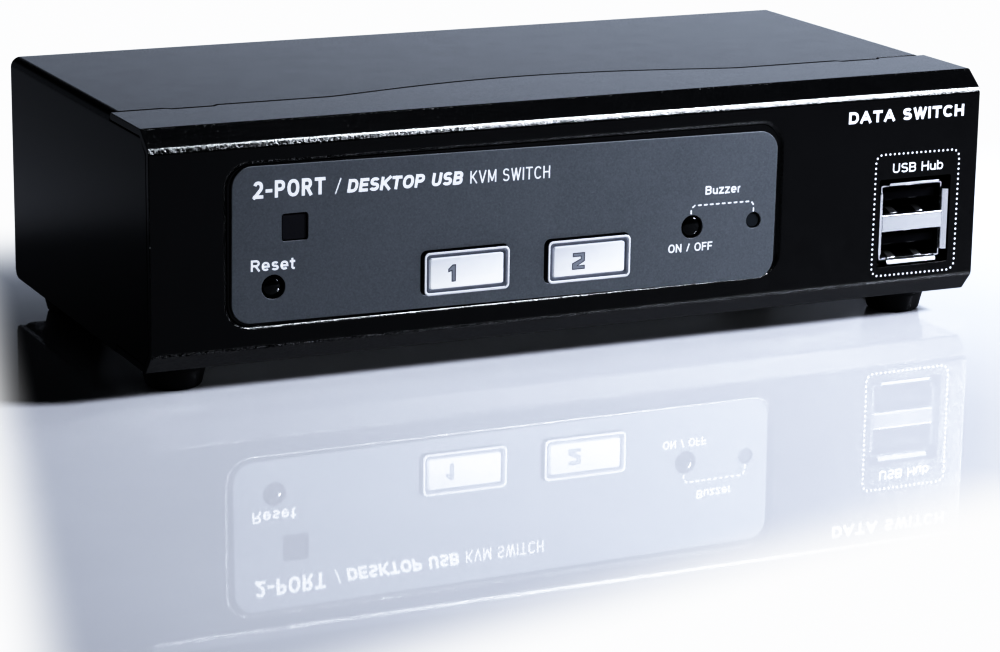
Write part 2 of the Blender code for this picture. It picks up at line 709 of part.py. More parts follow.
def usb_b(name, x):
    """USB-B socket on the rear wall, its mouth faces +Y."""
    mouth_y = REAR + 0.6
    z = USB_B_Z

    def body(inset, radius, steps, back, front):
        """Rounded block; back and front are depths from the mouth."""
        outline = rounded_rect(x, z, USB_B_W - inset, USB_B_H - inset, radius, steps)
        return prism(outline, "Y", mouth_y - back, mouth_y - front)

    def opening(inset):
        """Plug outline with its two upper corners cut, made smaller all round."""
        half, low, shoulder, top_half = (v - inset for v in (4.25, 3.9, 2.3, 2.7))
        return [
            (x - half, z - low), (x + half, z - low), (x + half, z + shoulder),
            (x + top_half, z + low), (x - top_half, z + low), (x - half, z + shoulder),
        ]

    shell = mesh_object(f"{name}_usb_shell", body(0.0, 0.4, 2, 16.0, 0.0), NICKEL)
    combine(shell, prism(opening(0.0), "Y", mouth_y - 0.7, mouth_y + CLEAR))
    combine(shell, body(0.8, 0.2, 1, 17.0, 0.5))
    core = mesh_object(f"{name}_usb_insulator", body(1.4, 0.2, 1, 15.5, 0.75), WHITE_PLASTIC)
    combine(core, prism(opening(0.05), "Y", mouth_y - 10.0, mouth_y))
    half_w, half_h = 2.9, 1.6
    tongue = box(
        x - half_w, x + half_w, mouth_y - 10.4, mouth_y - 1.6, z - half_h, z + half_h
    )
    combine(core, tongue, "UNION")


# ----------------------------------------------------------------- VGA sockets
VGA_SEAT_Y = WALL_Y - SHEET - 0.2           # front plate sits inside the wall
VGA_END_Y = REAR + VGA_PROUD
VGA_PLATE_W, VGA_PLATE_H, VGA_PLATE_T = 30.6, 12.4, 0.9
VGA_BODY_HALF_W, VGA_BODY_D = 9.6, 11.0
PIN_PITCH, PIN_ROW, PIN_R, PIN_DEPTH = 2.29, 1.98, 0.48, 4.5


def vga(name, x):
    """15-way D-sub socket in the rear wall, its mouth faces +Y."""
    seat = VGA_SEAT_Y
    plate = rounded_rect(x, VGA_Z, VGA_PLATE_W, VGA_PLATE_H, 1.0, 2)
    shell = mesh_object(
        f"{name}_vga_shell", prism(plate, "Y", seat - VGA_PLATE_T, seat), NICKEL
    )
    combine(shell, prism(dsub_outline(x, 0.0, DSUB_R), "Y", seat - 0.5, VGA_END_Y), "UNION")
    combine(shell, prism(dsub_outline(x, -0.8, 1.6), "Y", seat - 2.0, VGA_END_Y + CLEAR))
    combine(shell, joined([
        rod(x + side * VGA_PITCH / 2, VGA_Z, 1.75, 12, "Y", seat - 2, seat + CLEAR)
        for side in (-1, 1)
    ]))
    core = mesh_object(
        f"{name}_vga_insulator",
        prism(dsub_outline(x, -1.3, 1.4), "Y", seat - 1.2, VGA_END_Y - 0.4),
        BLUE_PLASTIC,
    )
    body = box(
        x - VGA_BODY_HALF_W, x + VGA_BODY_HALF_W, seat - VGA_BODY_D, seat - 1.1,
        SOCKET_Z, VGA_Z + 5.6,
    )
    combine(core, body, "UNION")
    # three rows of five pin holes, the middle row half a pitch over
    pins = []
    for dz, side in ((PIN_ROW, -1), (0.0, 1), (-PIN_ROW, -1)):
        for i in range(5):
            pin_x = x + (i - 2) * PIN_PITCH + side * PIN_PITCH / 4
            pins.append(
                rod(pin_x, VGA_Z + dz, PIN_R, 6, "Y", VGA_END_Y - PIN_DEPTH, VGA_END_Y + CLEAR)
            )
    combine(core, joined(pins))


def jackscrew(name, x):
    """Hex standoff: head outside the wall, shank through it, bore in the head."""
    head = mesh_object(
        name, rod(x, VGA_Z, 2.75, 6, "Y", WALL_Y + 0.2, WALL_Y + 5.0), NICKEL
    )
    combine(head, rod(x, VGA_Z, 1.35, 12, "Y", WALL_Y - 6.5, WALL_Y + 0.6), "UNION")
    combine(head, rod(x, VGA_Z, 1.4, 12, "Y", WALL_Y + 1.2, WALL_Y + 5.0 + CLEAR))


# --------------------------------------------------------------------- DC jack
def make_dc_jack():
    mouth_y = REAR + 0.1
    half, z0 = DC_W / 2, SOCKET_Z
    axis_z = z0 + 6.4

    def barrel(radius, steps, back, front):
        return rod(DC_X, axis_z, radius, steps, "Y", mouth_y - back, mouth_y - front)

    plate = box(DC_X - half, DC_X + half, mouth_y - 3.4, mouth_y, z0, z0 + DC_H)
    jack = mesh_object("dc_jack", plate, BLACK_PLASTIC)
    half -= 0.05
    body = box(DC_X - half, DC_X + half, mouth_y - 14.0, mouth_y - 3.3, z0, axis_z)
    combine(jack, body, "UNION")
    combine(jack, barrel(4.4, 20, 13.9, 3.0), "UNION")
    combine(jack, barrel(3.15, 20, 9.5, -CLEAR))            # bore
    combine(jack, barrel(1.05, 12, 9.8, 1.2), "UNION")      # centre pin


# --------------------------------------------------------------------- boards
MAIN_FRONT, MAIN_BACK = 16.4, 75.4          # main board, behind the face
ARM_FRONT = 2.6                             # its arm under the front USB socket
ARM_X = FRONT_USB_X - 11.0                  # left side of the arm


def make_boards():
    half = CHASSIS_HALF_W - SHEET - 1.0
    outline = [
        (-half, behind(MAIN_FRONT)), (ARM_X, behind(MAIN_FRONT)),
        (ARM_X, behind(ARM_FRONT)), (half, behind(ARM_FRONT)),
        (half, behind(MAIN_BACK)), (-half, behind(MAIN_BACK)),
    ]
    board = mesh_object("main_pcb", prism(outline, "Z", PCB_Z, PCB_TOP), BOARD)
    combine(board, joined([
        rod(x, behind(BOSS_Y), 1.6, 12, "Z", PCB_Z - CLEAR, PCB_TOP + CLEAR)
        for x in (-BOSS_X, BOSS_X)
    ]))
    back = FRONT_PCB_Y + PCB_T
    front_board = front_prism(rectangle(-70.0, 48.0, 12.3, 36.0), FRONT_PCB_Y, back)
    mesh_object("front_pcb", front_board, BOARD)
    half, depth = 14.0, 5.6
    header = mesh_object(
        "board_header",
        box(-half, half, behind(back + GAP), behind(back + GAP + depth), SOCKET_Z, PCB_TOP + 6.0),
        BLACK_PLASTIC,
    )
    bevel(header, 0.3)


# name, x, distance behind the face, side of the square, height
CHIPS = (
    ("controller_chip", -8.0, 36.0, 14.0, 1.6),
    ("video_switch_chip", -36.0, 34.0, 10.0, 1.4),
    ("usb_hub_chip", 44.0, 30.0, 9.0, 1.4),
)
# x, distance behind the face, radius, height
CAPACITORS = ((64.0, 48.0, 4.0, 11.5), (54.0, 47.0, 3.15, 7.5))
BUZZER_PROFILE = [(0.2, 6.0), (8.0, 6.0), (8.5, 5.5), (8.5, 1.1), (7.3, 1.0)]
BUZZER_LED_PROFILE = [
    (3.6, 0.5), (3.9, 1.1), (4.6, 1.45), (12.6, 1.45), (12.6, 1.75), (PART_BACK, 1.75),
]
IR_LENS_PROFILE = [(6.6, 0.6), (6.9, 1.5), (7.7, 2.1), (9.0, 2.2)]


def make_main_board_parts():
    chip_z = PCB_TOP + 0.15
    for name, x, y, size, height in CHIPS:
        y, half = behind(y), size / 2
        chip = box(x - half, x + half, y - half, y + half, chip_z, chip_z + height)
        bevel(mesh_object(name, chip, CHIP), 0.25)
    for number, (x, y, r, height) in enumerate(CAPACITORS, 1):
        # a groove near the foot, a chamfer on top
        profile = [
            (0.2, r), (1.6, r), (2.0, r - 0.3), (2.4, r), (height - 0.3, r), (height, r - 0.4),
        ]
        mesh_object(f"capacitor_{number}", turned(profile, "Z", (x, behind(y), PCB_TOP), 16), CAN)
    buzzer = turned(BUZZER_PROFILE, "Z", (22.0, behind(30.0), PCB_TOP), 24)
    mesh_object("piezo_buzzer", buzzer, BLACK_PLASTIC)


def make_front_board_parts():
    for number, x in enumerate(BUTTON_X, 1):
        outline = rectangle(x + 4.6, x + 7.0, BUTTON_Z - 1.6, BUTTON_Z + 1.6)
        lamp = front_prism(outline, 11.6, PART_BACK)
        bevel(mesh_object(f"port_led_{number}", lamp, LAMP_CLEAR), 0.3)
    led = turned(BUZZER_LED_PROFILE, "Y", (LAMP_X, FRONT, LAMP_Z), 16)
    mesh_object("buzzer_led", led, LAMP_CLEAR)
    half_w, half_h = 2.8, 3.4
    outline = rectangle(
        SENSOR_X - half_w, SENSOR_X + half_w, SENSOR_Z - half_h, SENSOR_Z + half_h
    )
    receiver = mesh_object("ir_receiver", front_prism(outline, 8.6, PART_BACK), BLACK_PLASTIC)
    combine(receiver, turned(IR_LENS_PROFILE, "Y", (SENSOR_X, FRONT, SENSOR_Z), 16), "UNION")


# ------------------------------------------------------------- feet and screws
FOOT_X = {"left": -73.4, "right": 71.1}     # stick-on feet, placed by hand
FOOT_INSET = 11.1                           # from the face and from the rear
FOOT_R_TOP, FOOT_R_LOW = 6.05, 4.9
FOOT_TOP = FOOT_H - GAP
FOOT_PROFILE = [
    (0.0, FOOT_R_LOW - 0.5),
    (0.45, FOOT_R_LOW),
    (FOOT_TOP - 0.9, FOOT_R_TOP - 0.45),
    (FOOT_TOP - 0.6, FOOT_R_TOP),
    (FOOT_TOP, FOOT_R_TOP),
]

PCB_HEAD_Z = PCB_TOP + 0.2                  # underside of the board screws' heads
PCB_SCREW_PROFILE = [
    (PCB_Z - 2.5, 0.6), (PCB_Z - 2.0, 1.05), (PCB_HEAD_Z + 0.2, 1.05),
    (PCB_HEAD_Z, 2.7), (PCB_HEAD_Z + 1.0, 2.6), (PCB_HEAD_Z + 1.6, 1.8),
]
COVER_SCREW_PROFILE = [
    (-7.0, 0.6), (-6.4, 1.35), (0.25, 1.35), (0.1, 2.8), (1.0, 2.7), (1.6, 1.9),
]


def make_feet():
    for side, x in FOOT_X.items():
        for end, y in (("front", behind(FOOT_INSET)), ("rear", REAR - FOOT_INSET)):
            foot = turned(FOOT_PROFILE, "Z", (x, y, 0.0), 32)
            mesh_object(f"foot_{end}_{side}", foot, RUBBER)


def cut_cross(screw, axis, a, b, reach, head):
    """Cross recess in a head at (a, b), above the height head on the axis."""
    half_slot = 0.28
    for da, db in ((reach, half_slot), (half_slot, reach)):
        slot = rectangle(a - da, a + da, b - db, b + db)
        combine(screw, prism(slot, axis, head + 0.9, head + 2.5))


def make_screws():
    for side, sign in (("left", -1), ("right", 1)):
        x, y = sign * BOSS_X, behind(BOSS_Y)
        screw = mesh_object(
            f"pcb_screw_{side}", turned(PCB_SCREW_PROFILE, "Z", (x, y, 0.0), 16), ZINC
        )
        cut_cross(screw, "Z", x, y, 1.3, PCB_HEAD_Z)
        x, z = sign * COVER_SCREW_X, COVER_SCREW_Z
        screw = mesh_object(
            f"cover_screw_{side}", turned(COVER_SCREW_PROFILE, "Y", (x, REAR, z), 16), ZINC
        )
        cut_cross(screw, "Y", x, z, 1.4, REAR)


# ------------------------------------------------------------------- assembly
make_bezel()
make_cover()
make_chassis()
make_overlay()
make_windows()
for button_number, button_x in enumerate(BUTTON_X, 1):
    make_select_button(button_number, button_x)
    make_tact_switch(f"select_switch_{button_number}", button_x, BUTTON_Z, tip=9.5)
make_plunger("reset_button", RESET_X, RESET_Z, dome=0.75)
make_plunger("buzzer_button", BUZZER_X, BUZZER_Z, dome=0.35)
make_tact_switch("reset_switch", RESET_X, RESET_Z, tip=9.7)
make_tact_switch("buzzer_switch", BUZZER_X, BUZZER_Z, tip=9.7)
usb_a_stack("front", FRONT_USB_X, FRONT_USB_Z, behind(0.55), 1, BLACK_PLASTIC)
make_boards()
make_main_board_parts()
make_front_board_parts()
make_dc_jack()
usb_a_stack("console", CONSOLE_USB_X, CONSOLE_USB_Z, REAR + 0.9, -1, WHITE_PLASTIC)
for port, port_x in USB_B_X.items():
    usb_b(port, port_x)
for port, port_x in VGA_X.items():
    vga(port, port_x)
# jackscrews are numbered from left to right
jack_x = [x + side * VGA_PITCH / 2 for x in sorted(VGA_X.values()) for side in (-1, 1)]
for jack_number, x in enumerate(jack_x, 1):
    jackscrew(f"jackscrew_{jack_number}", x)
make_feet()
make_screws()
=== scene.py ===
"""A two-port desktop KVM switch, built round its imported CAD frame.

The case lies flat: +Z is up, the front faces -Y and the width runs along X.
Everything is placed from the frame's own boxes. Lengths are in millimetres
until piece() turns them into metres; lights and camera are in metres.
"""

import math

import bmesh
import bpy
from mathutils import Matrix, Vector


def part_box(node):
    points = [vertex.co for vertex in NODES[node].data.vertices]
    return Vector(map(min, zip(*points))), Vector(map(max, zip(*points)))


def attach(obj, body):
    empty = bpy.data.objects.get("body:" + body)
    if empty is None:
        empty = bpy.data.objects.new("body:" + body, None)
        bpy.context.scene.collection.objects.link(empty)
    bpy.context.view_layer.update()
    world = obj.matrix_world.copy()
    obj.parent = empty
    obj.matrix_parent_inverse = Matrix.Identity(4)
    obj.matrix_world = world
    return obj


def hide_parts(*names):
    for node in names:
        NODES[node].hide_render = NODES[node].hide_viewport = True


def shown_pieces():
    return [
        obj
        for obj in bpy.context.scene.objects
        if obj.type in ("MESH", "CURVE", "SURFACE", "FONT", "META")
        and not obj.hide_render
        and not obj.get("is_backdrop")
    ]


MM = 0.001

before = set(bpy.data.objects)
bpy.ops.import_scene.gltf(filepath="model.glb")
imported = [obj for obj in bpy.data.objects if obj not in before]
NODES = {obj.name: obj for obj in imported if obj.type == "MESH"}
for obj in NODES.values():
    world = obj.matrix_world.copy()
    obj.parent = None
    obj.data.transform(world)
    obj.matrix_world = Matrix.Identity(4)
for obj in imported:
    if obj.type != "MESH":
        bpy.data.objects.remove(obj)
bpy.context.view_layer.update()
bpy.context.evaluated_depsgraph_get().update()
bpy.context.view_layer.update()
SCENE = bpy.context.scene


def box_mm(node):
    low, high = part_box(node)
    return low / MM, high / MM


def centre_mm(node):
    low, high = box_mm(node)
    return (low + high) / 2


# ------------------------------------------------------------- frame positions
bezel_low, bezel_high = box_mm("front_bezel")
FRONT, BOTTOM = bezel_low.y, bezel_low.z
HALF_WIDTH, TOP = bezel_high.x, bezel_high.z
REAR = box_mm("top_cover")[1].y
film_low, film_high = box_mm("front_overlay")
FILM_X = (film_low.x + film_high.x) / 2
FILM_Z = (film_low.z + film_high.z) / 2
FILM_BACK = film_high.y
FILM_FACE = FRONT - 0.03            # the film stands just proud of the bezel
FILM_TURN = math.radians(0.57)      # the film lies a little out of square
BUTTONS = {n: centre_mm(f"select_face_{n}") for n in (1, 2)}
PLUNGERS = [centre_mm(f"{which}_button") for which in ("reset", "buzzer")]
SENSOR = centre_mm("sensor_window")
LAMP = centre_mm("buzzer_lamp_window")
FRONT_USB = centre_mm("front_usb_insulator")


def face(depth):
    """The y that lies depth behind the bezel's flat face."""
    return FRONT + depth


# -------------------------------------------------------------------- outlines
def rounded_rect(x, y, width, height, radius, steps):
    radius = max(min(radius, width / 2 - 1e-3, height / 2 - 1e-3), 1e-3)
    points = []
    for side_x, side_y, start in ((1, -1, -90), (1, 1, 0), (-1, 1, 90), (-1, -1, 180)):
        corner_x = x + side_x * (width / 2 - radius)
        corner_y = y + side_y * (height / 2 - radius)
        for i in range(steps + 1):
            angle = math.radians(start + 90.0 * i / steps)
            points.append((
                corner_x + radius * math.cos(angle),
                corner_y + radius * math.sin(angle),
            ))
    return points


def circle(x, y, radius, steps):
    angles = [2 * math.pi * i / steps for i in range(steps)]
    return [(x + radius * math.cos(a), y + radius * math.sin(a)) for a in angles]


def rounded_path(points, radii, steps):
    """An open path with its corners rounded; radii has one entry per corner."""
    out = [points[0]]
    for before, corner, after, radius in zip(points, points[1:], points[2:], radii):
        corner = Vector(corner)
        back = (Vector(before) - corner).normalized()
        ahead = (Vector(after) - corner).normalized()
        half_angle = back.angle(ahead) / 2
        cut = radius / math.tan(half_angle)
        centre = corner + (back + ahead).normalized() * (radius / math.sin(half_angle))
        start = corner + back * cut - centre
        end = corner + ahead * cut - centre
        for k in range(steps + 1):
            out.append(tuple(centre + start.slerp(end, k / steps).normalized() * radius))
    out.append(points[-1])
    return out


def right_of(start, end):
    """Unit vector to the right of the way from start to end."""
    way = (end - start).normalized()
    return Vector((way.y, -way.x))


def offset_path(points, distance):
    """An open path moved to its right."""
    points = [Vector(p) for p in points]
    sides = [right_of(a, b) for a, b in zip(points, points[1:])]
    out = [tuple(points[0] + sides[0] * distance)]
    for point, before, after in zip(points[1:], sides, sides[1:]):
        middle = (before + after).normalized()
        out.append(tuple(point + middle * (distance / middle.dot(before))))
    out.append(tuple(points[-1] + sides[-1] * distance))
    return out


def turned(x, z, centre_x, centre_z, angle):
    """A point turned about a centre."""
    cos, sin = math.cos(angle), math.sin(angle)
    x, z = x - centre_x, z - centre_z
    return centre_x + x * cos - z * sin, centre_z + x * sin + z * cos


# ---------------------------------------------------------------------- solids
def prism(outline, axis, low, high):
    """An outline extruded along an axis; its points are on the other two, in XYZ order."""

    def place(first, second, along):
        point = [first, second]
        point.insert("XYZ".index(axis), along)
        return Vector(point)

    solid = bmesh.new()
    base = solid.faces.new([solid.verts.new(place(*p, low)) for p in outline])
    grown = bmesh.ops.extrude_face_region(solid, geom=[base])
    moved = [g for g in grown["geom"] if isinstance(g, bmesh.types.BMVert)]
    bmesh.ops.translate(solid, vec=place(0, 0, high - low), verts=moved)
    bmesh.ops.recalc_face_normals(solid, faces=solid.faces)
    return solid


def loft(rings, slots=None):
    """Joins rings of equal length with quads; slots gives a material slot per band."""
    solid = bmesh.new()
    loops = [[solid.verts.new(p) for p in ring] for ring in rings]
    count = len(loops[0])
    slots = slots or [0] * (len(loops) - 1)
    for low, high, slot in zip(loops, loops[1:], slots):
        for i in range(count):
            j = (i + 1) % count
            solid.faces.new((low[i], low[j], high[j], high[i])).material_index = slot
    solid.faces.new(list(reversed(loops[0]))).material_index = slots[0]
    solid.faces.new(loops[-1]).material_index = slots[-1]
    bmesh.ops.recalc_face_normals(solid, faces=solid.faces)
    return solid


def block(x_span, y_span, z_span):
    (x0, x1), (y0, y1) = x_span, y_span
    return prism([(x0, y0), (x1, y0), (x1, y1), (x0, y1)], "Z", *z_span)


def joined(parts):
    out = bmesh.new()
    for solid in parts:
        mesh = bpy.data.meshes.new("part")
        solid.to_mesh(mesh)
        solid.free()
        out.from_mesh(mesh)
        bpy.data.meshes.remove(mesh)
    return out


def lies_across_x(edge):
    return abs(edge.verts[0].co.x - edge.verts[1].co.x) < 1e-6


def round_edges(solid, edges, radius, segments):
    bmesh.ops.bevel(
        solid, geom=edges, offset=radius, segments=segments, affect="EDGES", profile=0.5
    )


# --------------------------------------------------------------------- objects
def smooth(mesh, sharp):
    mesh.shade_smooth()
    mesh.set_sharp_from_angle(angle=math.radians(sharp))


def piece(name, solid, *materials, sharp=32.0):
    """A mesh object in metres at the world origin."""
    bmesh.ops.transform(solid, matrix=Matrix.Scale(MM, 4), verts=solid.verts)
    mesh = bpy.data.meshes.new(name)
    solid.to_mesh(mesh)
    solid.free()
    obj = bpy.data.objects.new(name, mesh)
    SCENE.collection.objects.link(obj)
    for material in materials:
        mesh.materials.append(material)
    smooth(mesh, sharp)
    return obj


def combine(obj, solid, operation="DIFFERENCE"):
    """Cuts a solid out of a piece, or joins it on, and cleans the result."""
    tool = piece("helper", solid)
    boolean = obj.modifiers.new("cut", "BOOLEAN")
    boolean.object = tool
    boolean.operation = operation
    boolean.solver = "EXACT"
    bpy.context.view_layer.update()
    graph = bpy.context.evaluated_depsgraph_get()
    mesh = bpy.data.meshes.new_from_object(obj.evaluated_get(graph))
    obj.modifiers.remove(boolean)
    old, obj.data = obj.data, mesh
    bpy.data.meshes.remove(old)
    bpy.data.objects.remove(tool, do_unlink=True)
    clean = bmesh.new()
    clean.from_mesh(mesh)
    bmesh.ops.remove_doubles(clean, verts=clean.verts, dist=2e-7)
    bmesh.ops.dissolve_degenerate(clean, edges=clean.edges, dist=2e-7)
    clean.to_mesh(mesh)
    clean.free()
    smooth(mesh, 32.0)


def add_bevel(obj, width, segments, angle):
    bevel = obj.modifiers.new("soften", "BEVEL")
    bevel.width = width * MM
    bevel.segments = segments
    bevel.limit_method = "ANGLE"
    bevel.angle_limit = math.radians(angle)
    return bevel


def keep_flats(obj):
    normals = obj.modifiers.new("flats", "WEIGHTED_NORMAL")
    normals.keep_sharp = True
    normals.weight = 80


def soften(obj, width, segments=2, angle=36.0):
    """Rounds the hard edges with real geometry, then keeps the flats flat."""
    add_bevel(obj, width, segments, angle).miter_outer = "MITER_ARC"
    keep_flats(obj)


def stand_in(obj, node, body="housing"):
    """Puts a piece in a CAD node's place on a body."""
    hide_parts(node)
    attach(obj, body)


def refine(names, material, width=0.0, segments=2, angle=34.0, sharp=38.0):
    """Dresses CAD nodes with modifiers and a material; their meshes stay as imported."""
    for name in names.split():
        obj = NODES[name]
        mesh = obj.data
        mesh.materials.clear()
        mesh.materials.append(material)
        for polygon in mesh.polygons:
            polygon.use_smooth = True
            polygon.material_index = 0
        weld = obj.modifiers.new("weld", "WELD")
        weld.merge_threshold = 2e-6
        planar = obj.modifiers.new("planar", "DECIMATE")
        planar.decimate_type = "DISSOLVE"
        planar.angle_limit = math.radians(0.6)
        if width:
            add_bevel(obj, width, segments, angle)
        group = smooth_group()
        by_angle = obj.modifiers.new("smooth", "NODES")
        by_angle.node_group = group
        by_angle[group.interface.items_tree["Angle"].identifier] = math.radians(sharp)
        keep_flats(obj)


# ------------------------------------------------------------------ node trees
UNIT = (0.0, 1.0)
NOISE_SPAN = (0.3, 0.7)     # where most of a noise texture's values lie
BLACK = (0.0, 0.0, 0.0)
WHITE = (1.0, 1.0, 1.0)


class Nodes:
    """Shorthand for filling a node tree. A tuple given as a value is an RGB colour."""

    def __init__(self, tree):
        self.tree = tree

    def feed(self, target, value):
        if isinstance(value, bpy.types.NodeSocket):
            self.tree.links.new(value, target)
        elif isinstance(value, tuple):
            target.default_value = value + (1.0,)
        else:
            target.default_value = value

    def add(self, kind, feeds=None, **props):
        """A new node; feeds maps input names or numbers to values."""
        node = self.tree.nodes.new(kind)
        for key, value in props.items():
            setattr(node, key, value)
        for key, value in (feeds or {}).items():
            self.feed(node.inputs[key], value)
        return node

    def math(self, operation, *values):
        feeds = dict(enumerate(values))
        return self.add("ShaderNodeMath", feeds, operation=operation).outputs[0]

    def times(self, product, *factors):
        for factor in factors:
            product = self.math("MULTIPLY", product, factor)
        return product

    def plus(self, first, second):
        return self.math("ADD", first, second)

    def rest(self, value):
        """What value leaves of 1."""
        return self.math("SUBTRACT", 1.0, value)

    def ramp(self, value, over=NOISE_SPAN, to=UNIT, kind="LINEAR"):
        """Maps the span over onto the span to, clamped."""
        feeds = {
            "Value": value,
            "From Min": over[0],
            "From Max": over[1],
            "To Min": to[0],
            "To Max": to[1],
        }
        node = self.add("ShaderNodeMapRange", feeds, clamp=True, interpolation_type=kind)
        return node.outputs["Result"]

    def split(self, vector):
        return self.add("ShaderNodeSeparateXYZ", {0: vector}).outputs


class Paint(Nodes):
    """One material's node tree, with lengths in millimetres."""

    def __init__(self, name):
        self.material = bpy.data.materials.new(name)
        self.material.use_nodes = True
        super().__init__(self.material.node_tree)
        coord = self.add("ShaderNodeTexCoord").outputs["Object"]
        feeds = {0: coord, "Scale": 1.0 / MM}
        self.position = self.add("ShaderNodeVectorMath", feeds, operation="SCALE").outputs[0]

    def noise(self, size, seed, detail=3.0, rough=0.6, stretch=None):
        """Noise whose features are about size across."""
        vector = self.position
        if stretch:
            feeds = {0: vector, 1: Vector(stretch)}
            vector = self.add("ShaderNodeVectorMath", feeds, operation="MULTIPLY").outputs[0]
        feeds = {
            "Vector": vector,
            "W": seed,
            "Scale": 1.0 / size,
            "Detail": detail,
            "Roughness": rough,
        }
        return self.add("ShaderNodeTexNoise", feeds, noise_dimensions="4D").outputs["Fac"]

    def blend(self, first, second, first_share):
        return self.plus(self.times(first, first_share), self.times(second, 1.0 - first_share))

    def mix(self, factor, first, second, strength=None):
        """Mixes colours; strength scales the factor."""
        if strength is not None:
            factor = self.times(factor, strength)
        feeds = {"Factor": factor, "A": first, "B": second}
        return self.add("ShaderNodeMix", feeds, data_type="RGBA").outputs["Result"]

    def dot(self, first, second):
        feeds = {0: first, 1: second}
        node = self.add("ShaderNodeVectorMath", feeds, operation="DOT_PRODUCT")
        return node.outputs["Value"]

    def geometry(self, output):
        return self.add("ShaderNodeNewGeometry").outputs[output]

    def normal(self):
        """The surface normal's parts in the piece's own frame."""
        turn = self.add(
            "ShaderNodeVectorTransform", {0: self.geometry("Normal")},
            vector_type="NORMAL", convert_from="WORLD", convert_to="OBJECT",
        )
        return self.split(turn.outputs[0])

    def edge(self, radius):
        """1 on edges nearer than radius, 0 elsewhere."""
        bevel = self.add("ShaderNodeBevel", {"Radius": radius * MM}, samples=6)
        agreement = self.dot(bevel.outputs["Normal"], self.geometry("Normal"))
        return self.ramp(self.rest(agreement), over=(0.02, 0.35))

    def bump(self, height, depth):
        """Relief of the given depth for a height of 1."""
        linked = isinstance(depth, bpy.types.NodeSocket)
        distance = self.times(depth, MM) if linked else depth * MM
        feeds = {"Strength": 1.0, "Distance": distance, "Height": height}
        return self.add("ShaderNodeBump", feeds).outputs["Normal"]

    def finish(self, colour, rough, relief, **other):
        feeds = {"Base Color": colour, "Roughness": rough, "Normal": relief}
        for key, value in other.items():
            feeds[key.replace("_", " ")] = value
        for key, value in feeds.items():
            self.feed(self.tree.nodes["Principled BSDF"].inputs[key], value)
        return self.material


def smooth_group():
    """A geometry-nodes group: smooth faces, with edges over an angle left sharp."""
    found = bpy.data.node_groups.get("smooth_by_angle")
    if found:
        return found
    group = bpy.data.node_groups.new("smooth_by_angle", "GeometryNodeTree")
    for name, way, kind in (
        ("Geometry", "INPUT", "Geometry"),
        ("Angle", "INPUT", "Float"),
        ("Geometry", "OUTPUT", "Geometry"),
    ):
        group.interface.new_socket(name, in_out=way, socket_type=f"NodeSocket{kind}")
    nodes = Nodes(group)
    start = nodes.add("NodeGroupInput").outputs
    angle = nodes.add("GeometryNodeInputMeshEdgeAngle").outputs["Unsigned Angle"]
    feeds = {"A": angle, "B": start["Angle"]}
    less = nodes.add("FunctionNodeCompare", feeds, data_type="FLOAT", operation="LESS_THAN")
    geometry = start["Geometry"]
    for domain, is_smooth in (("FACE", True), ("EDGE", less.outputs["Result"])):
        feeds = {"Geometry": geometry, "Shade Smooth": is_smooth}
        step = nodes.add("GeometryNodeSetShadeSmooth", feeds, domain=domain)
        geometry = step.outputs["Geometry"]
    nodes.add("NodeGroupOutput", {"Geometry": geometry})
    return group


# ------------------------------------------------------------------- materials
def tint(colour, gain=1.0, lift=0.0):
    return tuple(min(1.0, channel * gain + lift) for channel in colour)


def powder_coat(name, colour, ior, rough, fold_grain, flat_grain, seed, folded=False):
    """Fine-textured black paint. The grain is coarser where the sheet is folded."""
    mat = Paint(name)
    normal = mat.normal()
    size_x, size_y, size_z = [mat.math("ABSOLUTE", part) for part in normal]
    flat = mat.math("MAXIMUM", size_x, mat.math("MAXIMUM", size_y, size_z))
    fold = mat.times(
        mat.ramp(flat, over=(0.998, 0.96)),
        mat.ramp(flat, over=(0.79, 0.86), to=(0.12, 1.0)),
    )
    depth = mat.ramp(fold, over=UNIT, to=(flat_grain, fold_grain))
    if folded:
        # the paint lies coarser towards the left end of each fold
        x = mat.split(mat.position)[0]
        depth = mat.times(depth, mat.ramp(x, over=(-78.0, 5.0), to=(2.1, 1.0)))
    coarse = mat.noise(size=0.85, seed=seed, detail=2.0)
    fine = mat.noise(size=0.30, seed=seed + 3.0, detail=2.0)
    relief = mat.bump(mat.blend(coarse, fine, first_share=0.38), depth)
    patches = mat.noise(size=5.0, seed=seed + 5.0, detail=4.0, rough=0.7)
    speck_noise = mat.noise(size=0.33, seed=seed + 9.0, detail=1.0, rough=0.5)
    specks = mat.ramp(speck_noise, over=(0.62, 0.78))
    wear_noise = mat.noise(size=1.3, seed=seed + 7.0, rough=0.7)
    worn = mat.times(mat.edge(radius=0.22), mat.ramp(wear_noise, over=(0.42, 0.72)))
    base = mat.mix(mat.ramp(patches), tint(colour, gain=0.72), colour)
    base = mat.mix(specks, base, tint(colour, gain=2.6, lift=0.006), strength=0.25)
    base = mat.mix(worn, base, tint(colour, lift=0.022), strength=0.5)
    roughness = mat.ramp(
        mat.blend(patches, fine, first_share=0.2), to=(rough - 0.05, rough + 0.05)
    )
    if not folded:
        return mat.finish(base, roughness, relief, IOR=ior)
    gloss = fold_gloss(mat, x, normal, fold, seed)
    return mat.finish(base, roughness, relief, IOR=ior, Specular_IOR_Level=gloss)


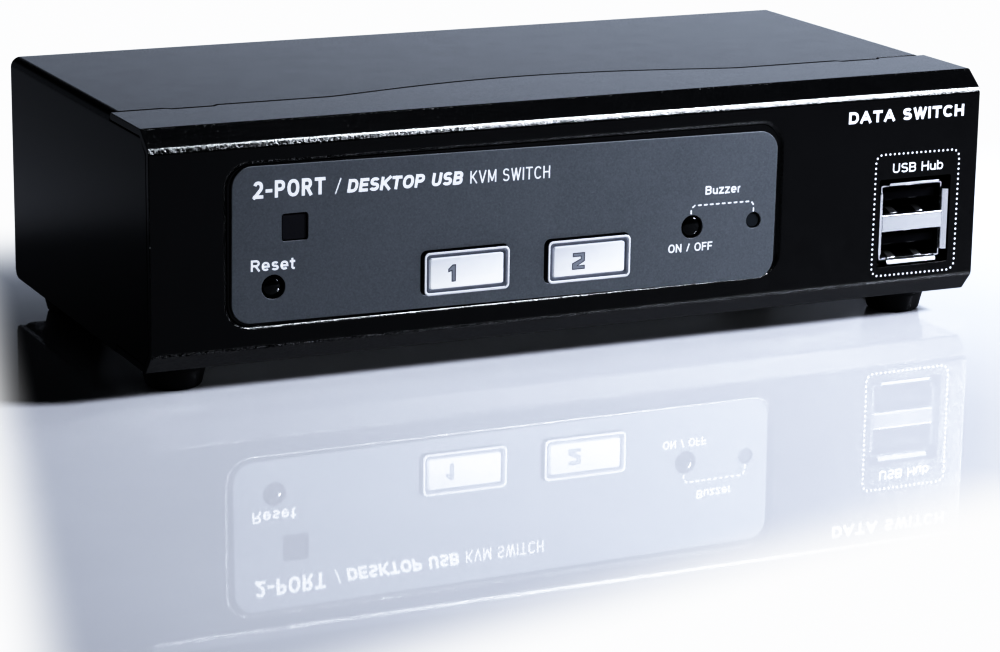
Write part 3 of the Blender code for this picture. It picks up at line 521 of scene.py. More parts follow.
def fold_gloss(mat, x, normal, fold, seed):
    """Specular level of the bezel's paint."""
    normal_x, _, normal_z = normal
    # the left wall of the film's field is dull; the case's own left end is left out
    left_wall = mat.times(
        mat.ramp(normal_x, over=(0.06, 0.25)),
        mat.ramp(x, over=(-50.0, -60.0), to=(0.0, 0.8)),
        mat.ramp(x, over=(-HALF_WIDTH + 1.0, -HALF_WIDTH + 2.0)),
    )
    # seen from behind, the top strip has no gloss
    to_eye = mat.split(mat.geometry("Incoming"))
    behind = mat.times(
        mat.ramp(normal_z, over=(0.9, 0.98)), mat.ramp(to_eye[1], over=(0.0, 0.15))
    )
    # the paint on the folds glints grain by grain, more so towards the left
    grains = mat.ramp(
        mat.noise(size=0.42, seed=seed + 11.0, detail=1.0, rough=0.5),
        over=(0.43, 0.57), to=(0.08, 1.7),
    )
    grain_share = mat.times(fold, mat.ramp(x, over=(-78.0, 15.0), to=(0.95, 0.30)))
    fold_loss = mat.times(fold, mat.ramp(x, over=(-78.0, -5.0), to=(0.30, 0.0)))
    return mat.times(
        mat.ramp(left_wall, over=UNIT, to=(0.5, 0.0)),
        mat.ramp(normal_z, over=(-0.55, -0.25), to=(1.6, 1.0)),     # underside
        mat.ramp(normal_z, over=(0.9, 0.98), to=(1.0, 0.78)),       # top
        mat.rest(fold_loss),
        mat.ramp(behind, over=(0.0, 0.6), to=(1.0, 0.0)),
        mat.plus(mat.rest(grain_share), mat.times(grain_share, grains)),
    )


def film_material():
    """Printed film: blue-grey velvet front; its cut edge is painted pale, a painted highlight.
    """
    mat = Paint("front_film")
    _, normal_y, _ = mat.normal()
    # painted highlight: faces along the cut edge are coloured pale
    side = mat.ramp(mat.math("ABSOLUTE", normal_y), over=(0.95, 0.55))
    cloud = mat.noise(size=9.0, seed=2.0)
    grain = mat.noise(size=0.32, seed=4.0, rough=0.7)
    speck_noise = mat.noise(size=0.42, seed=6.0, detail=1.0, rough=0.4)
    speck = mat.ramp(speck_noise, over=(0.70, 0.78))
    base = mat.mix(
        mat.ramp(cloud, over=(0.25, 0.75)), (0.146, 0.158, 0.167), (0.168, 0.180, 0.189)
    )
    base = mat.mix(mat.ramp(grain, to=(0.0, 0.55)), base, (0.252, 0.266, 0.277))
    base = mat.mix(speck, base, (0.30, 0.31, 0.32), strength=0.30)
    # painted highlight on the cut edge
    base = mat.mix(side, base, (0.42, 0.43, 0.44), strength=0.75)
    relief = mat.bump(grain, depth=0.010)
    return mat.finish(base, mat.ramp(grain, to=(0.42, 0.56)), relief, IOR=1.33)


def moulded(
    name, colour, rough, seed, ior=1.46, grain=0.006, size=0.25, spread=0.18, wear=0.25, **other
):
    """Injection-moulded plastic: faint flow clouding, fine spark texture, rubbed edges."""
    mat = Paint(name)
    cloud = mat.noise(size=5.0, seed=seed)
    spark = mat.noise(size=size, seed=seed + 2.0, rough=0.65)
    pale = tint(colour, gain=1 + spread, lift=0.01 * spread)
    base = mat.mix(mat.ramp(cloud), tint(colour, gain=1 - spread), pale)
    rub_noise = mat.noise(size=0.8, seed=seed + 4.0, detail=2.0)
    rub = mat.times(mat.edge(radius=0.12), mat.ramp(rub_noise, over=(0.4, 0.7)))
    base = mat.mix(rub, base, tint(colour, gain=1.5, lift=0.02), strength=wear)
    roughness = mat.ramp(spark, to=(rough - 0.05, rough + 0.07))
    return mat.finish(base, roughness, mat.bump(spark, grain), IOR=ior, **other)


def metal(name, colour, rough, brush, seed, grain=0.0025, tarnish=0.35, vary=1.0, flats=False):
    """Metal with drawing marks, faint tarnish and bright edges.

    With flats, faces square to Y are painted darker towards the left of the front socket, a
    painted shade.
    """
    mat = Paint(name)
    lines = mat.noise(size=1.2, seed=seed, rough=0.65, stretch=brush)
    stain = mat.noise(size=3.2, seed=seed + 3.0, detail=4.0)
    stained = mat.ramp(stain, over=(0.52, 0.74), to=(0.0, tarnish))
    base = mat.mix(stained, colour, tint(colour, gain=0.78))
    if flats:
        # painted shade: front faces are darkened towards the socket's left
        _, normal_y, _ = mat.normal()
        x = mat.split(mat.position)[0]
        flat = mat.times(
            mat.ramp(mat.math("ABSOLUTE", normal_y), over=(0.96, 0.995)),
            mat.ramp(x, over=(FRONT_USB.x - 6.5, FRONT_USB.x + 6.5), to=(0.10, 0.0)),
        )
        base = mat.mix(flat, base, BLACK)
    bright = tint(colour, gain=1.1, lift=0.04)
    base = mat.mix(mat.edge(radius=0.10), base, bright, strength=0.5)
    roughness = mat.plus(
        mat.ramp(lines, to=(rough - 0.04 * vary, rough + 0.08 * vary)),
        mat.ramp(stain, over=(0.5, 0.8), to=(0.0, 0.10 * vary)),
    )
    return mat.finish(base, roughness, mat.bump(lines, grain), Metallic=1.0)


def rubber_material():
    mat = Paint("foot_rubber")
    grain = mat.noise(size=0.16, seed=3.0, rough=0.7)
    dust = mat.ramp(mat.noise(size=2.2, seed=8.0, rough=0.65), over=(0.5, 0.8))
    base = mat.mix(dust, (0.0065, 0.0065, 0.0070), (0.020, 0.020, 0.020), strength=0.5)
    relief = mat.bump(grain, depth=0.012)
    return mat.finish(base, mat.ramp(grain, to=(0.46, 0.62)), relief, IOR=1.30)


def plate_material():
    """White satin plastic with a soft sheen; painted shade makes it darker and bluish towards
    the top, and a painted glow lightens it most at the bottom and left.
    """
    mat = Paint("button_plate")
    x, _, z = mat.split(mat.position)
    cloud = mat.noise(size=3.5, seed=2.0)
    spark = mat.noise(size=0.12, seed=4.0, detail=2.0)
    height = mat.ramp(z, over=(BUTTONS[1].z - 2.7, BUTTONS[1].z + 2.7))
    # painted shade: paler at the bottom, darker and bluish towards the top
    base = mat.mix(height, (0.86, 0.86, 0.855), (0.75, 0.76, 0.79))
    clouded = mat.ramp(cloud, over=(0.35, 0.65), to=(0.0, 0.25))
    base = mat.mix(clouded, base, (0.92, 0.93, 0.95))
    # painted light: an emitted glow, stronger at the bottom and towards the left
    glow = mat.times(
        mat.ramp(height, over=UNIT, to=(0.22, 0.14)),
        mat.ramp(x, over=(-35.0, 10.0), to=(1.25, 0.75)),
    )
    return mat.finish(
        base, mat.ramp(spark, to=(0.30, 0.38)), mat.bump(spark, depth=0.002),
        IOR=1.40, Emission_Color=(0.96, 0.98, 1.0), Emission_Strength=glow,
    )


def mottled(name, dark, pale, cloud, spark, rough, depth, ior):
    """Plastic of two clouded shades; cloud and spark are arguments for noise."""
    mat = Paint(name)
    base = mat.mix(mat.ramp(mat.noise(**cloud)), dark, pale)
    spark = mat.noise(**spark)
    return mat.finish(base, mat.ramp(spark, to=rough), mat.bump(spark, depth), IOR=ior)


def ink_material(name, colour, seed):
    mat = Paint(name)
    grain = mat.noise(size=0.10, seed=seed, rough=0.7)
    base = mat.mix(mat.ramp(grain), tint(colour, gain=0.88), colour)
    relief = mat.bump(grain, depth=0.002)
    return mat.finish(base, mat.ramp(grain, to=(0.40, 0.52)), relief, IOR=1.4)


def board_material():
    """Green solder mask over copper tracks and pads."""
    track_waves = 4.2       # radians of track pattern per millimetre of x + z
    track_wander = 9.0      # how far noise shifts the tracks
    mat = Paint("circuit_board")
    x, _, z = mat.split(mat.position)
    wander = mat.noise(size=6.0, seed=2.0, detail=2.0, rough=0.5)
    across = mat.plus(mat.plus(x, z), mat.times(wander, track_wander))
    tracks = mat.math("SINE", mat.times(across, track_waves))
    copper = mat.ramp(tracks, over=(0.55, 0.75))
    feeds = {"Vector": mat.position, "Scale": 0.32}
    cells = mat.add("ShaderNodeTexVoronoi", feeds, feature="F1")
    pads = mat.ramp(cells.outputs["Distance"], over=(0.20, 0.17))
    mask = mat.noise(size=0.5, seed=5.0)
    base = mat.mix(mat.ramp(mask), (0.006, 0.075, 0.030), (0.009, 0.095, 0.040))
    base = mat.mix(copper, base, (0.020, 0.170, 0.062), strength=0.6)
    base = mat.mix(pads, base, (0.62, 0.60, 0.54))
    pad_height = 0.6        # against 1 for the tracks
    relief = mat.bump(mat.plus(copper, mat.times(pads, pad_height)), depth=0.03)
    return mat.finish(base, mat.ramp(mask, to=(0.24, 0.34)), relief, IOR=1.5)


BEZEL_PAINT = powder_coat(
    "bezel_powder_coat", (0.0048, 0.0048, 0.0051), ior=1.40, rough=0.13,
    fold_grain=0.24, flat_grain=0.006, seed=1.0, folded=True,
)
COVER_PAINT = powder_coat(
    "cover_powder_coat", (0.0018, 0.0018, 0.0019), ior=1.38, rough=0.17,
    fold_grain=0.030, flat_grain=0.008, seed=21.0,
)
CHASSIS_PAINT = powder_coat(
    "chassis_powder_coat", (0.014, 0.014, 0.015), ior=1.50, rough=0.34,
    fold_grain=0.030, flat_grain=0.016, seed=41.0,
)
BRIGHT = dict(
    rough=0.20, brush=(1.0, 1.0, 9.0), seed=3.0, grain=0.0005, tarnish=0.08, vary=0.3
)
NICKEL = metal("bright_nickel", (0.60, 0.60, 0.61), **BRIGHT)
# socket nickel: its front faces carry painted shade towards the left
SOCKET_NICKEL = metal("socket_nickel", (0.80, 0.80, 0.80), flats=True, **BRIGHT)
NICKEL_SPRING = metal(
    "spring_nickel", (0.80, 0.80, 0.80), rough=0.30, brush=(1.0, 6.0, 1.0), seed=5.0
)
ZINC = metal("zinc_screw", (0.62, 0.63, 0.64), rough=0.30, brush=(3.0, 3.0, 3.0), seed=7.0)
GOLD = metal("contact_gold", (0.72, 0.64, 0.50), rough=0.24, brush=(6.0, 1.0, 1.0), seed=9.0)
CAN = metal("capacitor_can", (0.72, 0.73, 0.75), rough=0.28, brush=(1.0, 1.0, 8.0), seed=11.0)
SOCKET_BLACK = moulded(
    "socket_black", (0.010, 0.010, 0.012), rough=0.42, seed=13.0, ior=1.16, wear=1.0
)
PLUNGER_BLACK = moulded(
    "plunger_black", (0.0045, 0.0050, 0.0050), rough=0.13, seed=15.0, grain=0.002, ior=1.42
)
SOCKET_WHITE = moulded(
    "socket_white", (0.72, 0.72, 0.68), rough=0.38, seed=17.0, spread=0.06,
    Subsurface_Weight=0.05,
)
SOCKET_BLUE = moulded("socket_blue", (0.012, 0.045, 0.30), rough=0.36, seed=19.0)
JACK_BLACK = moulded("jack_black", (0.012, 0.012, 0.013), rough=0.42, seed=23.0, grain=0.010)
STEM_WHITE = moulded("stem_white", (0.70, 0.71, 0.72), rough=0.40, seed=25.0, spread=0.05)
LED_CLEAR = moulded(
    "led_clear", (0.75, 0.82, 0.88), rough=0.10, seed=27.0, spread=0.05,
    Transmission_Weight=0.6,
)
CHIP_BLACK = moulded(
    "chip_epoxy", (0.016, 0.016, 0.018), rough=0.55, seed=29.0, grain=0.012, size=0.12
)
WINDOW = dict(grain=0.002, spread=0.10)
WINDOW_SENSOR = moulded(
    "window_sensor", (0.027, 0.027, 0.031), rough=0.30, seed=31.0, ior=1.35, **WINDOW
)
WINDOW_LAMP = moulded(
    "window_lamp", (0.040, 0.046, 0.051), rough=0.32, seed=33.0, ior=1.25, **WINDOW
)
# the print is given a faint emitted glow, painted light
PRINT_WHITE = moulded(
    "print_white", (0.92, 0.93, 0.95), rough=0.45, seed=35.0, grain=0.003, size=0.08,
    spread=0.04, wear=0.0, Emission_Color=(0.95, 0.97, 1.0), Emission_Strength=0.22,
)
FILM = film_material()
RUBBER = rubber_material()
PLATE = plate_material()
RIM = mottled(      # bright outer ring of each button cap
    "button_rim", dark=(0.94, 0.94, 0.94), pale=(0.98, 0.98, 0.98),
    cloud=dict(size=2.0, seed=12.0), spark=dict(size=0.10, seed=14.0, detail=2.0),
    rough=(0.30, 0.40), depth=0.003, ior=1.5,
)
BAND = mottled(     # mid-grey channel inside the ring
    "button_channel", dark=(0.175, 0.185, 0.205), pale=(0.215, 0.225, 0.245),
    cloud=dict(size=1.5, seed=19.0, detail=2.0), spark=dict(size=0.14, seed=18.0),
    rough=(0.40, 0.52), depth=0.004, ior=1.3,
)
# the cap's sides are coloured near black: painted shade where they sit in the hole's shadow
CAP_SIDE_SHADE = moulded("cap_side_shade", (0.012, 0.012, 0.013), rough=0.45, seed=37.0, ior=1.3)
DIGIT_FILL = ink_material("digit_grey", (0.37, 0.385, 0.41), seed=4.0)
DIGIT_LINE = ink_material("digit_outline", (0.10, 0.105, 0.12), seed=6.0)
BOARD = board_material()


# ---------------------------------------------------------------- front bezel
CHAMFER_TOP = (3.95, 3.1)       # (depth, height) of the slanted face under the top
CHAMFER_LOW = (2.95, 3.5)       # and of the one above the bottom
SKIN = 1.2                      # thickness of the bezel
GAP = 0.3                       # between bezel and cover
SHEET = 1.0                     # thickness of the cover
RETURN_DEPTH = 18.0             # how far the bezel runs back underneath
BEZEL_PATH = [                  # (y, z), from the underside round the face to the top
    (face(RETURN_DEPTH), BOTTOM),
    (face(CHAMFER_LOW[0]), BOTTOM),
    (face(0.0), BOTTOM + CHAMFER_LOW[1]),
    (face(0.0), TOP - CHAMFER_TOP[1]),
    (face(CHAMFER_TOP[0]), TOP),
    (face(30.0), TOP),
]
# seam across the top: straight, bowed back in the middle, with a forward tab each side
SEAM_DEPTH = 20.0
SEAM_BOW = 6.3
SEAM_BOW_HALF = 41.0
SEAM_STEPS = 64
SEAM_GAP = 0.72
TAB_X = 66.5
TAB_WIDTH = 9.5
TAB_DEPTH = 0.9
OVERSHOOT = 5.0                 # how far cutting shapes reach past the sides
PLUNGER_HOLE = 2.15             # radius


def seam_tab(x):
    half = TAB_WIDTH / 2
    return [
        (x - half, SEAM_DEPTH),
        (x - half + TAB_DEPTH, SEAM_DEPTH - TAB_DEPTH),
        (x + half - TAB_DEPTH, SEAM_DEPTH - TAB_DEPTH),
        (x + half, SEAM_DEPTH),
    ]


def seam_bow():
    points = []
    for i in range(SEAM_STEPS + 1):
        x = -SEAM_BOW_HALF + 2 * SEAM_BOW_HALF * i / SEAM_STEPS
        bow = max(1.0 - (x / SEAM_BOW_HALF) ** 2, 0.0)
        points.append((x, SEAM_DEPTH + SEAM_BOW * bow**1.25))
    return points


def seam_cutter(shift, limit, low, high):
    """Everything between the seam, moved back by shift, and the depth limit."""
    outer = HALF_WIDTH + OVERSHOOT
    points = [(-outer, SEAM_DEPTH), *seam_tab(-TAB_X), *seam_bow(), *seam_tab(TAB_X)]
    points.append((outer, SEAM_DEPTH))
    outline = [(x, face(depth + shift)) for x, depth in points]
    outline += [(outer, face(limit)), (-outer, face(limit))]
    return prism(outline, "Z", low, high)


def bezel_panel():
    """The folded sheet, its outer edges rounded at both ends."""
    outer = rounded_path(BEZEL_PATH, (0.9, 1.7, 1.7, 0.9), 14)
    inner = offset_path(BEZEL_PATH, SKIN)
    panel = prism(outer + list(reversed(inner)), "X", -HALF_WIDTH, HALF_WIDTH)
    outside = {(round(y, 4), round(z, 4)) for y, z in outer}
    rims = [
        edge for edge in panel.edges
        if lies_across_x(edge)
        and all((round(v.co.y, 4), round(v.co.z, 4)) in outside for v in edge.verts)
        and len(edge.link_faces) == 2
        and abs(edge.link_faces[0].normal.dot(edge.link_faces[1].normal)) < 0.5
    ]
    round_edges(panel, rims, radius=0.16, segments=3)
    return panel


def film_field():
    """Cutter for the sunken field behind the film, its rim rounded over."""
    depth, radius = 0.55, 1.2
    reach = math.acos(1.0 - depth / radius)
    profile = [(depth + 0.02, 0.0)]         # (depth, growth of the outline)
    for i in range(9):
        angle = reach * (1.0 - i / 8)
        growth = radius * (math.sin(reach) - math.sin(angle))
        profile.append((radius - radius * math.cos(angle), growth))
    profile.append((-0.5, profile[-1][1] + 0.03))
    rings = []
    for depth, grow in profile:
        ring = rounded_rect(
            -14.2, 25.775 + 0.2 * grow, 106.2 + 2 * grow, 27.85 + 1.6 * grow, 4.0 + grow, 12
        )
        rings.append([(x, face(depth), z) for x, z in ring])
    return loft(rings)


def small_holes(sensor_size, sensor_radius, lamp_radius, plunger_steps, y_span):
    """Cutters for the sensor window, the lamp window and the two plungers."""
    outlines = [
        rounded_rect(SENSOR.x, SENSOR.z, sensor_size, sensor_size, sensor_radius, 4),
        circle(LAMP.x, LAMP.z, lamp_radius, 32),
    ]
    outlines += [circle(c.x, c.z, PLUNGER_HOLE, plunger_steps) for c in PLUNGERS]
    return [prism(outline, "Y", *y_span) for outline in outlines]


def make_bezel():
    obj = piece("bezel_panel", bezel_panel(), BEZEL_PAINT)
    combine(obj, seam_cutter(-SEAM_GAP / 2, 40, TOP - 3.0, TOP + 1.0))
    combine(obj, film_field())
    y_span = (face(-1.0), face(3.0))
    holes = [
        prism(rounded_rect(c.x, c.z, 16.8, 8.4, 1.3, 6), "Y", *y_span)
        for c in BUTTONS.values()
    ]
    holes += small_holes(4.9, 0.6, 1.55, 40, y_span)
    usb_hole = rounded_rect(FRONT_USB.x, FRONT_USB.z + 0.2, 15.3, 16.6, 0.4, 4)
    holes.append(prism(usb_hole, "Y", *y_span))
    combine(obj, joined(holes))
    soften(obj, 0.10)
    stand_in(obj, "front_bezel")


# ------------------------------------------------------------------- top cover
def cover_side():
    """Side outline of the cover as (y, z): it follows the bezel's inside at the front."""
    follow = offset_path(BEZEL_PATH, SKIN + GAP)
    return [
        (face(RETURN_DEPTH + GAP), BOTTOM + SKIN + GAP),
        *follow[1:4],
        (face(CHAMFER_TOP[0] + 0.6), TOP - 1.0),
        (face(CHAMFER_TOP[0] + 3.0), TOP + 1.0),
        (REAR + 1.0, TOP + 1.0),
        (REAR + 1.0, BOTTOM + 1.6),
        (REAR, BOTTOM + 1.6),               # lower rear corner cut away
        (REAR - 0.5, BOTTOM + 0.5),
        (REAR - 1.6, BOTTOM),
        (REAR - 1.6, BOTTOM - 1.0),
        (face(RETURN_DEPTH + GAP), BOTTOM - 1.0),
    ]


def make_cover():
    arch = [(x, z) for x, z in (
        (-HALF_WIDTH, BOTTOM), (-HALF_WIDTH, TOP), (HALF_WIDTH, TOP), (HALF_WIDTH, BOTTOM),
    )]
    outer = rounded_path(arch, (1.9, 1.9), 16)
    inner = rounded_path(offset_path(arch, SHEET), (0.9, 0.9), 12)
    shell = prism(outer + list(reversed(inner)), "Y", face(SKIN + GAP), REAR)
    obj = piece("cover_shell", shell, COVER_PAINT)
    side = prism(cover_side(), "X", -HALF_WIDTH - 2, HALF_WIDTH + 2)
    combine(obj, side, "INTERSECT")
    combine(obj, seam_cutter(SEAM_GAP / 2, -2, TOP - SKIN - GAP, TOP + 2.0))
    soften(obj, 0.12)
    stand_in(obj, "top_cover")


# ------------------------------------------------------------------ front film
FILM_WIDTH = 105.0
FILM_HEIGHT = 27.2
FILM_RADIUS = 3.6
FILM_EDGE = (       # (y, growth of the outline): the front edge is rounded over
    (FILM_BACK, 0.0),
    (FILM_FACE + 0.11, 0.0),
    (FILM_FACE + 0.05, -0.015),
    (FILM_FACE + 0.015, -0.05),
    (FILM_FACE, -0.11),
)


def make_film():
    """The printed film, its openings cut close to what they frame."""
    turn = Matrix.Rotation(-FILM_TURN, 2)
    rings = []
    for y, grow in FILM_EDGE:
        outline = rounded_rect(
            0.0, 0.0, FILM_WIDTH + 2 * grow, FILM_HEIGHT + 2 * grow, FILM_RADIUS + grow, 14
        )
        spots = [turn @ Vector(point) for point in outline]
        rings.append([(FILM_X + spot.x, y, FILM_Z + spot.y) for spot in spots])
    film = piece("film_sheet", loft(rings), FILM)
    y_span = (FILM_FACE - 0.5, FILM_BACK + 0.5)
    holes = []
    for button in BUTTONS.values():
        low, high = button.z - 4.15, button.z + 3.86
        outline = rounded_rect(button.x - 0.06, (low + high) / 2, 16.8, high - low, 1.15, 8)
        holes.append(prism(outline, "Y", *y_span))
    holes += small_holes(4.82, 0.55, 1.50, 44, y_span)
    combine(film, joined(holes))
    soften(film, 0.04, angle=50)
    stand_in(film, "front_overlay")


# --------------------------------------------------------------- select buttons
BUTTON_DROP = Vector((0.0, 0.0, 0.2))   # the buttons hang a little below their CAD place
CAP_RINGS = (       # (depth behind the face, width, height, corner radius)
    (4.0, 15.7, 7.3, 0.75), (3.85, 16.1, 7.6, 0.9), (2.62, 16.1, 7.6, 0.9),
    (2.58, 18.3, 9.8, 1.2), (1.54, 18.3, 9.8, 1.2), (1.50, 16.3, 7.75, 0.95),
    (-0.84, 16.3, 7.75, 0.95), (-0.93, 16.27, 7.72, 0.94), (-0.98, 16.20, 7.65, 0.92),
    (-1.0, 16.10, 7.55, 0.89), (-1.0, 15.52, 6.97, 0.70), (-0.98, 15.44, 6.89, 0.67),
    (-0.93, 15.40, 6.85, 0.65), (-0.74, 15.36, 6.81, 0.64), (-0.74, 15.28, 6.73, 0.62),
    (-0.86, 15.22, 6.67, 0.60), (-0.88, 15.14, 6.59, 0.58), (-0.83, 14.30, 5.80, 0.46),
    (-0.80, 14.22, 5.72, 0.44), (0.30, 14.18, 5.68, 0.44),
)
CAP_MATERIALS = (RIM, BAND, CAP_SIDE_SHADE)
CAP_SLOTS = [2] * 7 + [0] * 6 + [1] * 6     # of the bands between the rings
PLATE_WIDTH = 13.92
PLATE_HEIGHT = 5.46
PLATE_RADIUS = 0.36
PLATE_EDGE = 0.12                           # rounding of the plate's front edge
DIGIT_BOXES = {     # (left, right, bottom, top) from the button's centre
    1: (-3.52, -2.20, -1.58, 1.34),
    2: (-3.32, -0.94, -1.58, 1.32),
}
DIGIT_LAYERS = (    # (name, growth, front depth, back depth, material)
    ("outline", 0.07, -0.928, -0.90, DIGIT_LINE),
    ("fill", -0.08, -0.938, -0.91, DIGIT_FILL),
)


def digit_corners(digit, x0, x1, z0, z1):
    """Corners of a block numeral, counter-clockwise seen from the front."""
    width, height = x1 - x0, z1 - z0
    if digit == 1:
        thick = 0.52 * width
        return [
            (x1 - thick, z0), (x1, z0), (x1, z1), (x1 - thick * 0.75, z1),
            (x0, z1 - 0.24 * height), (x0, z1 - 0.40 * height),
            (x1 - thick, z1 - 0.33 * height),
        ]
    thick = 0.205 * height
    return [
        (x0, z0), (x1, z0), (x1, z0 + thick), (x0 + 0.40 * width, z0 + thick),
        (x1, z0 + 0.49 * height), (x1, z1), (x0 + 0.05 * width, z1),
        (x0 + 0.05 * width, z1 - thick), (x1 - 0.29 * width, z1 - thick),
        (x1 - 0.29 * width, z0 + 0.62 * height), (x0, z0 + 0.36 * height),
    ]


def grown(corners, distance):
    """A counter-clockwise outline moved outwards; sharp corners are held short."""
    corners = [Vector(corner) for corner in corners]
    out = []
    for i, corner in enumerate(corners):
        before = right_of(corners[i - 1], corner)
        after = right_of(corner, corners[(i + 1) % len(corners)])
        middle = (before + after).normalized()
        out.append(tuple(corner + middle * (distance / max(middle.dot(before), 0.45))))
    return out


def make_button(number):
    centre = BUTTONS[number] - BUTTON_DROP
    body = f"select_{number}"

    def ring(depth, width, height, radius):
        outline = rounded_rect(centre.x, centre.z, width, height, radius, 7)
        return [(x, face(depth), z) for x, z in outline]

    rings = [ring(*row) for row in CAP_RINGS]
    cap = piece(f"button_cap_{number}", loft(rings, CAP_SLOTS), *CAP_MATERIALS, sharp=50)
    stand_in(cap, f"select_button_{number}", body)

    rings = [
        ring(0.10, PLATE_WIDTH - 0.1, PLATE_HEIGHT - 0.1, 0.30),
        ring(0.05, PLATE_WIDTH, PLATE_HEIGHT, PLATE_RADIUS),
        ring(-0.80, PLATE_WIDTH, PLATE_HEIGHT, PLATE_RADIUS),
    ]
    for i in range(1, 5):
        angle = math.radians(90 * i / 4)
        inset = PLATE_EDGE * (1 - math.cos(angle))
        rings.append(ring(
            -0.80 - PLATE_EDGE * math.sin(angle),
            PLATE_WIDTH - 2 * inset, PLATE_HEIGHT - 2 * inset, PLATE_RADIUS - inset * 0.6,
        ))
    plate = piece(f"button_plate_{number}", loft(rings), PLATE, sharp=50)
    stand_in(plate, f"select_face_{number}", body)

    # the port number, printed left of the middle
    left, right, bottom, top = DIGIT_BOXES[number]
    corners = digit_corners(
        number, centre.x + left, centre.x + right, centre.z + bottom, centre.z + top
    )
    for layer, grow, front, back, material in DIGIT_LAYERS:
        solid = prism(grown(corners, grow), "Y", face(front), face(back))
        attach(piece(f"digit_{number}_{layer}", solid, material), body)


# ------------------------------------------------------------------ USB sockets
SLOT_WIDTH = 12.5
SLOT_HEIGHT = 5.1
BAR = 3.35                              # height of the bar between the two slots
BAR_ROUNDING = 0.42
WALL = 0.3
SOCKET_HEIGHT = 2 * SLOT_HEIGHT + BAR   # inside the tube
LIP_SHEET = 0.28
LIP_BEND = 0.95                         # bend radius
LIP_ANGLE = 52.0
TONGUE_DROP = 0.85                      # from a slot's ceiling to its tongue
TONGUE_THICK = 1.9


def lip_section(reach):
    """A flared lip as (outward, depth): from inside the wall round to its free edge."""
    foot, bend_depth, root_depth = 0.02, 0.62, 0.9
    small_bend = LIP_BEND - LIP_SHEET
    inner, outer = [], []
    for i in range(9):
        angle = math.radians(LIP_ANGLE * i / 8)
        rise, run = 1 - math.cos(angle), math.sin(angle)
        inner.append((foot + LIP_BEND * rise, bend_depth - LIP_BEND * run))
        outer.append((foot + LIP_SHEET + small_bend * rise, bend_depth - small_bend * run))
    out, depth = inner[-1]
    length = (reach - out) / math.sin(angle)
    out += length * math.sin(angle)
    depth -= length * math.cos(angle) * 0.55
    inner.append((out, depth))
    outer.append((out - 0.02, depth + LIP_SHEET))
    root = [(foot + LIP_SHEET, root_depth)]
    return [(foot, root_depth)] + inner + list(reversed(outer)) + root


def bar_section(deep, z):
    """The bar as (y, z), its front edges rolled inwards."""
    low, high, radius = z - BAR / 2, z + BAR / 2, BAR_ROUNDING
    angles = [math.radians(90 * i / 6) for i in range(7)]
    section = [(deep(1.3), low), (deep(radius), low)]
    for a in angles[1:]:
        depth = radius - radius * math.sin(a)
        section.append((deep(depth), low + radius - radius * math.cos(a)))
    for a in angles:
        depth = radius - radius * math.cos(a)
        section.append((deep(depth), high - radius + radius * math.sin(a)))
    section.append((deep(1.3), high))
    return section


def socket_shell(name, x, z, deep, span):
    """Thin sheet: a tube, the bar across it and four flared lips."""
    outline = rounded_rect(x, z, SLOT_WIDTH + 2 * WALL, SOCKET_HEIGHT + 2 * WALL, 0.35, 4)
    shell = piece(name, prism(outline, "Y", *span(0.75, 17.0)), SOCKET_NICKEL)
    bore = rounded_rect(x, z, SLOT_WIDTH, SOCKET_HEIGHT, 0.12, 2)
    combine(shell, prism(bore, "Y", *span(-1.0, 18.0)))
    reach = SLOT_WIDTH / 2 + 0.15
    combine(shell, prism(bar_section(deep, z), "X", x - reach, x + reach), "UNION")
    for side in (-1, 1):
        lip = [(x + side * (SLOT_WIDTH / 2 + out), deep(d)) for out, d in lip_section(1.10)]
        combine(shell, prism(lip, "Z", z - 5.75, z + 5.75), "UNION")
        lip = [(deep(d), z + side * (SOCKET_HEIGHT / 2 + out)) for out, d in lip_section(0.92)]
        combine(shell, prism(lip, "X", x - 5.3, x + 5.3), "UNION")
    soften(shell, 0.05, angle=40)
    return shell


def socket_core(x, z, deep, span):
    """Rear block, middle web, and two ribbed tongues with chamfered noses."""
    half, web = SOCKET_HEIGHT / 2 - 0.25, BAR / 2 - 0.2
    parts = [
        block((x - 5.6, x + 5.6), span(13.0, 16.7), (z - half, z + half)),
        block((x - 5.6, x + 5.6), span(1.35, 13.2), (z - web, z + web)),
    ]
    for level in (1, -1):
        slot_z = z + level * (BAR / 2 + SLOT_HEIGHT / 2)
        top = slot_z + SLOT_HEIGHT / 2 - TONGUE_DROP
        section = [     # (depth, distance below the tongue's top)
            (1.62, 0.0), (1.38, 0.24), (1.38, 1.55),
            (1.75, TONGUE_THICK), (13.3, TONGUE_THICK), (13.3, 0.0),
        ]
        outline = [(deep(depth), top - drop) for depth, drop in section]
        tongue = prism(outline, "X", x - 5.5, x + 5.5)
        ends = [edge for edge in tongue.edges if lies_across_x(edge)]
        round_edges(tongue, ends, radius=0.12, segments=2)
        parts.append(tongue)
        for k in range(5):
            rib = x + (k - 2) * 2.2
            z_span = (top - 0.05, top + 0.09)
            parts.append(block((rib - 0.25, rib + 0.25), span(1.9, 12.0), z_span))
    return joined(parts)


def spring_section():
    """A leaf spring as (depth, height above the slot's floor)."""
    upper = []
    for i in range(13):
        t = i / 12
        arch = math.sin(math.pi * min(1.0, t * 1.15)) ** 1.4
        upper.append((1.2 + 5.4 * t, 0.06 + 0.62 * arch * (1.0 if t < 0.87 else 0.6)))
    return upper + [(depth, height - 0.16) for depth, height in reversed(upper)]


CONTACT_SECTION = (     # (depth, height from the tongue's underside)
    (2.4, -0.01), (3.0, -0.20), (4.2, -0.30), (8.5, -0.34),
    (11.5, -0.22), (11.5, 0.05), (2.4, 0.05),
)


